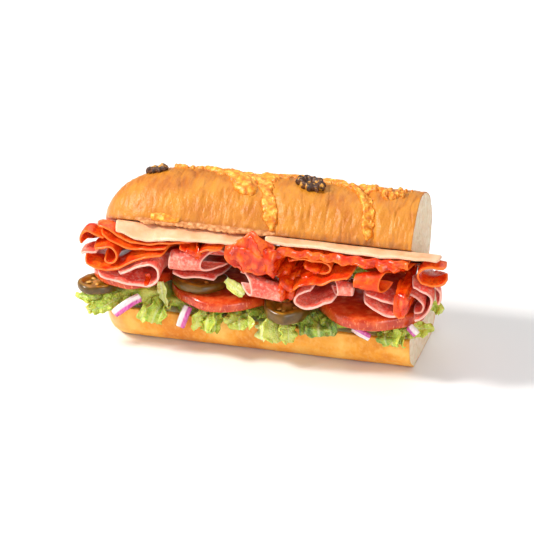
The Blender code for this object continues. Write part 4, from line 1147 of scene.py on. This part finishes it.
def onion(name, line, width, thickness, purple_side, seed):
    def place(a, b):
        a, b = disc(a, b, 0.07)
        t = (b + 1) / 2
        p = Vector(smooth_line(line, t))
        d = Vector(smooth_line(line, min(t + 0.02, 1))) - Vector(smooth_line(line, max(t - 0.02, 0)))
        side = d.cross(Vector((0, -1, 0))).normalized()
        out = side.cross(d).normalized()
        return p + side * (width / 2 * a) + out * (0.7 * (a * a - 0.3) + 0.25 * rough(t * 10, a, 0, 2, seed))

    points, faces, _ = slab(place, 22, 46, thickness)
    purple = [soft(0.5 + 1.6 * (purple_side * a - 0.12)) for a in spread(22) for _ in spread(46)] * 2
    Piece().add(points, faces, purple=purple).finish(name + "_strip", "onion", [name], ONION)


def leaf(piece, line, width, tone, seed, thickness=0.45, ruffle=1.0, across=13, deep=25):
    """A torn leaf: a pale rib along its middle line and ruffled, ragged sides."""
    size = sum(math.dist(a, b) for a, b in zip(line, line[1:]))

    def place(a, b):
        t = (b + 1) / 2
        p = Vector(smooth_line(line, t))
        d = Vector(smooth_line(line, min(t + 0.03, 1))) - Vector(smooth_line(line, max(t - 0.03, 0)))
        d.normalize()
        side = d.cross(Vector((math.sin(seed), -1, 0.35)))
        side = side.normalized() if side.length > 0.05 else Vector((1, 0, 0))
        out = side.cross(d).normalized()
        ragged = 1 + 0.3 * rough(t * size, math.copysign(3, a), 0, 2.6, seed)
        full = lerp(0.6, 1.0, soft(t * 2.2)) * lerp(1.0, 0.55, clamp((t - 0.8) / 0.2) ** 2)
        wave = math.sin(2 * math.pi * t * size / 4.6 + seed * 5 + (1.7 if a > 0 else 0)) * abs(a) ** 1.4
        curl = rough(t * size, a * width, 0, 5.0, seed + 2)
        side_step = a * width / 2 * full * ragged
        return p + side * side_step + out * ruffle * (1.5 * wave + 0.8 * curl) * soft(t * 3) + d * 0.5 * curl

    points, faces, _ = slab(place, across, deep, thickness)
    sides = [a for a in spread(across) for _ in spread(deep)] * 2
    rib = [clamp(1 - abs(a) / 0.16) * 0.55 for a in sides]
    tones = [clamp(tone + 0.12 * abs(a) + 0.1 * math.sin(7 * a + seed)) for a in sides]
    piece.add(points, faces, rib=rib, tone=tones)


def lettuce_bed(piece):
    """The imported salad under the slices, lumpy all over."""
    def place(x, turn, pole):
        top = along(BED_TOP, x)
        angle = 2 * math.pi * turn
        c, w = math.cos(angle), math.sin(angle)
        rho = 0 if pole else (abs(c) ** 5 + abs(w) ** 5) ** -0.2
        reach = 24.2 + 1.3 * math.sin(x / 5.0)
        y = -3.5 + reach * c * rho * (0.8 if abs(x) > 74 else 1)
        p = settle((x, y, lerp(19.2, top - 0.4, (1 + w * rho) / 2)))
        bump = 0 if pole else rough(*p, 3.2, 3.0) + 0.5 * rough(*p, 1.4, 5.0)
        return p + bump * Vector((0.5, c, 0.7 if p.z > 21 else 0.14))

    stations = [-76, *np.linspace(-76, 75, 132), 75]
    points, faces = loft(stations, 64, place)
    tone = [clamp(0.5 + 0.5 * rough(*p, 5, 2.0)) for p in points]
    piece.add(points, faces, tone=tone, rib=0.0)


# the short leaves at each side: y, z and the share of each leaf's drop that is taken off z
FRONT_FRINGE = ((-22, 21.8, 0), (-28.0, 22.8, 0), (-30.8, 22.8, 0.4), (-31.6, 22.0, 1))
BACK_FRINGE = ((15, 21.6, 0), (22.5, 22.2, 0), (28.5, 21.8, 0.2), (30.5, 21.2, 1))


def fringe(piece, count, step, jitter, drops, path, widths, turn, first, ruffle):
    """A row of short leaves along one side of the bed."""
    for i in range(count):
        x = -72 + i * step + pick.uniform(-jitter, jitter)
        drop = pick.uniform(*drops)
        lean = pick.uniform(-4, 4)
        line = [(x + lean * k, y, z - drop * share) for k, (y, z, share) in zip((0, 0.3, 0.7, 1), path)]
        width, tone = pick.uniform(*widths), pick.uniform(0.1, 0.85)
        leaf(piece, line, width, tone, i * turn + first, 0.4, ruffle, 9, 20)


def lettuce():
    piece = Piece()
    lettuce_bed(piece)
    for i, (line, width, tone) in enumerate(LEAVES):
        upright = line[-1][2] > 30
        leaf(piece, line, width * 1.1, tone, i * 1.3, 0.55, 0.35 if upright else 1.0)
        for k in () if upright else (-1, 1):
            aside = k * width * pick.uniform(0.35, 0.6)
            shift = Vector((aside, pick.uniform(-0.2, 0.9), pick.uniform(-0.6, 0.8)))
            other = [tuple(Vector(p) + shift * min(1, 0.4 + j * 0.3)) for j, p in enumerate(line)]
            other_width = width * pick.uniform(0.55, 0.8)
            leaf(piece, other, other_width, clamp(tone + pick.uniform(-0.25, 0.25)), i * 2.1 + k, 0.45)
    fringe(piece, 26, 5.7, 1.8, (-0.8, 0.6), FRONT_FRINGE, (3.5, 6), 0.77, 0, 0.9)
    fringe(piece, 40, 3.7, 1.4, (0.5, 4.0), BACK_FRINGE, (4, 7), 0.91, 40, 1.0)
    for i in range(70):
        x, y = pick.uniform(-70, 70), pick.uniform(-8, 22)
        angle, reach = pick.uniform(0, math.pi), pick.uniform(5, 9)
        z = settle((x, y, along(BED_TOP, x)))[2] + pick.uniform(-0.4, 0.5)
        dx, dy = math.cos(angle) * reach, math.sin(angle) * reach
        arch = ((-1, -1.2), (-0.3, 0.2), (0.3, 0.1), (1, -1.0))
        line = [(x + dx * k, y + dy * k, z + lift) for k, lift in arch]
        leaf(piece, line, pick.uniform(3, 5.5), pick.uniform(0.05, 0.8), i * 1.1 + 90, 0.4, 0.6, 7, 16)
    line, width, _ = RIB
    leaf(piece, line, width, 0.15, 3.0, 1.2, 0.4, 11, 20)
    piece.finish("lettuce_heap", "lettuce", ["lettuce", "lettuce_rib"], LETTUCE)


# sauce: runs over the front of the slices, each a line of (x, z, half width) with its thickness

SAUCE_RUNS = (
    (((-8.5, 58.5, 2.0), (-4, 58.5, 4.2), (0.5, 57.0, 5.0), (5.5, 54.6, 4.8), (9.0, 51.8, 3.0)), 1.5),
    (((8.5, 62.5, 2.6), (12.0, 58.0, 4.4), (15.2, 53.0, 5.0), (18.0, 47.6, 4.0), (19.4, 42.8, 3.4),
      (19.8, 38.6, 2.6), (20.2, 35.8, 1.6)), 1.8),
    (((16.0, 53.0, 2.6), (23.0, 51.6, 3.2), (29.0, 52.6, 2.8), (34.5, 53.6, 1.6)), 1.2),
    (((1.0, 68.0, 1.4), (2.6, 64.5, 2.2), (4.2, 60.5, 3.0), (5.0, 57.5, 2.6)), 1.1),
    (((48.5, 57.8, 1.0), (53.0, 58.0, 1.7), (57.0, 57.6, 1.7), (61.0, 57.8, 0.9)), 1.0),
    (((61.0, 59.8, 1.6), (67.0, 59.0, 2.4), (72.0, 56.8, 2.8), (74.4, 52.5, 2.6), (75.4, 47.5, 2.2),
      (76.2, 42.5, 2.6), (76.6, 38.8, 1.8)), 1.5),
    (((70.4, 57.5, 1.2), (70.2, 54.6, 1.1), (70.3, 52.2, 1.3)), 0.9),
    (((-30.5, 57.0, 1.6), (-27.0, 56.2, 2.6), (-25.4, 53.8, 2.3), (-25.2, 51.6, 1.6)), 0.9),
    (((-50.6, 41.0, 1.4), (-49.8, 39.0, 1.4), (-49.6, 37.0, 1.2)), 0.8),
    (((-4.0, 53.0, 1.2), (-3.4, 50.0, 1.1), (-3.0, 47.4, 1.4)), 0.8),
)
# middles and half sizes, along x and in height, of the sauced parts of the slices
SAUCED = (
    (0.0, 56.0, 10.0, 7.0), (11.0, 53.0, 9.0, 8.0), (22.0, 51.0, 10.0, 5.0), (74.0, 51.0, 6.5, 9.0),
    (66.0, 58.0, 9.0, 2.5), (-27.0, 57.5, 6.0, 2.5),
)


def sauce():
    trees = [BVHTree.FromPolygons(points, faces) for points, faces in UNDER_SAUCE]
    piece = Piece()

    def front_of(x, z):
        found = [tree.ray_cast(Vector((x, -70, z)), Vector((0, 1, 0)), 60)[0] for tree in trees]
        found = [hit.y for hit in found if hit is not None]
        return min(found) if found else -36.0

    for n, (line, thickness) in enumerate(SAUCE_RUNS):
        size = sum(math.dist(a[:2], b[:2]) for a, b in zip(line, line[1:]))
        deep = max(14, round(size * 2.2))
        us, vs = spread(13), spread(deep)
        grid = np.zeros((len(us), len(vs), 3))
        for j, b in enumerate(vs):
            t = (b + 1) / 2
            x, z, half = smooth_line(line, t)
            x0, z0, _ = smooth_line(line, max(t - 0.03, 0))
            x1, z1, _ = smooth_line(line, min(t + 0.03, 1))
            length = math.hypot(x1 - x0, z1 - z0)
            nx, nz = (z1 - z0) / length, -(x1 - x0) / length
            ends = math.sqrt(clamp(1 - abs(b) ** 6)) * 0.92 + 0.08
            for i, a in enumerate(us):
                wide = half * ends * (1 + 0.35 * rough(t * size, 4 * (1 if a > 0 else -1), 0, 2.6, n * 3.0))
                px, pz = x + nx * a * wide, z + nz * a * wide
                grid[i, j] = px, max(front_of(px, pz), -45.0), pz
        for _ in range(5):
            y = np.pad(grid[..., 1], 1, mode="edge")
            mean = (y[:-2, 1:-1] + y[2:, 1:-1] + y[1:-1, :-2] + y[1:-1, 2:]) / 4
            grid[..., 1] = np.minimum(grid[..., 1], mean)
        grid[..., 1] -= thickness * 0.2
        points, faces, _ = slab(grid, 13, deep, thickness, min(1.4, min(row[2] for row in line)))
        piece.add(points, faces)
    piece.finish("sauce_runs", "pepperoni", [], SAUCE)


# the whole

upper_loaf()
lower_loaf()
torn_strip()
baked_cheese()
for name, shape in TOASTED.items():
    toasted(name, *shape)
for i, (name, shape) in enumerate(PEPPERONI_FOLDS.items()):
    thickness = BACK_SLICE if shape[0] > 0 else PEPPERONI
    fold(name, *shape, thickness, PEPPERONI_SLICE, "pepperoni", i * 1.7)
for i, (name, shape) in enumerate(SALAMI_FOLDS.items()):
    thickness = BACK_SLICE if shape[0] > 0 else SALAMI
    fold(name, *shape, thickness, SALAMI_SLICE, "salami", i * 1.9 + 30)
for i, (name, shape) in enumerate(ROLLS.items()):
    kind = name.split("_")[0]
    roll(name, *shape, PEPPERONI_SLICE if kind == "pepperoni" else SALAMI_SLICE, kind, i * 2.3)
for i, (name, shape) in enumerate(FLAPS.items()):
    flap(name, *shape, seed=i * 3.1)
for i, (name, shape) in enumerate(CHEESE.items()):
    provolone(name, *shape, i * 4.3)
for i, (name, shape) in enumerate(TOMATOES.items()):
    tomato(name, *shape, i * 1.4)
for i, (name, shape) in enumerate(JALAPENOS.items()):
    jalapeno(name, *shape, i * 2.2 + 0.4)
for i, (name, shape) in enumerate(ONIONS.items()):
    onion(name, *shape, i * 1.5)
lettuce()
sauce()


# floor, light and camera

floor_mesh = bpy.data.meshes.new("floor")
floor_mesh.from_pydata([(-4, -4, 0), (4, -4, 0), (4, 4, 0), (-4, 4, 0)], [], [(0, 1, 2, 3)])
floor_mesh.materials.append(floor_look())
floor = bpy.data.objects.new("floor", floor_mesh)
floor.location.z = -0.0002
bpy.context.scene.collection.objects.link(floor)

world = bpy.data.worlds.new("Studio")
bpy.context.scene.world = world
world.use_nodes = True
world.node_tree.nodes["Background"].inputs["Color"].default_value = (1, 1, 1, 1)
world.node_tree.nodes["Background"].inputs["Strength"].default_value = SKY


def area_light(name, place, size, watts, colour=(1, 1, 1)):
    data = bpy.data.lights.new(name, "AREA")
    data.shape = "DISK"
    data.size = size
    data.energy = watts
    data.color = colour
    obj = bpy.data.objects.new(name, data)
    obj.location = place
    obj.rotation_euler = (Vector((0, 0, 0.03)) - Vector(place)).to_track_quat("-Z", "Y").to_euler()
    bpy.context.scene.collection.objects.link(obj)


area_light("key", (-0.8, -0.3, 0.8), 0.3, 14.0, (1.0, 0.97, 0.93))
area_light("fill", (0.6, -1.05, 0.5), 0.8, 6.0)
area_light("top", (0.0, 0.7, 1.5), 1.4, 9.0)

camera = bpy.data.objects.new("camera", bpy.data.cameras.new("camera"))
camera.data.lens = LENS
camera.data.sensor_width = 36
camera.data.clip_end = 20
away = Vector(TOWARDS_CAMERA).normalized()
camera.location = Vector(TARGET) + away * DISTANCE
camera.rotation_euler = away.to_track_quat("Z", "Y").to_euler()
bpy.context.scene.collection.objects.link(camera)
bpy.context.scene.camera = camera
bpy.context.scene.view_settings.view_transform = "Standard"
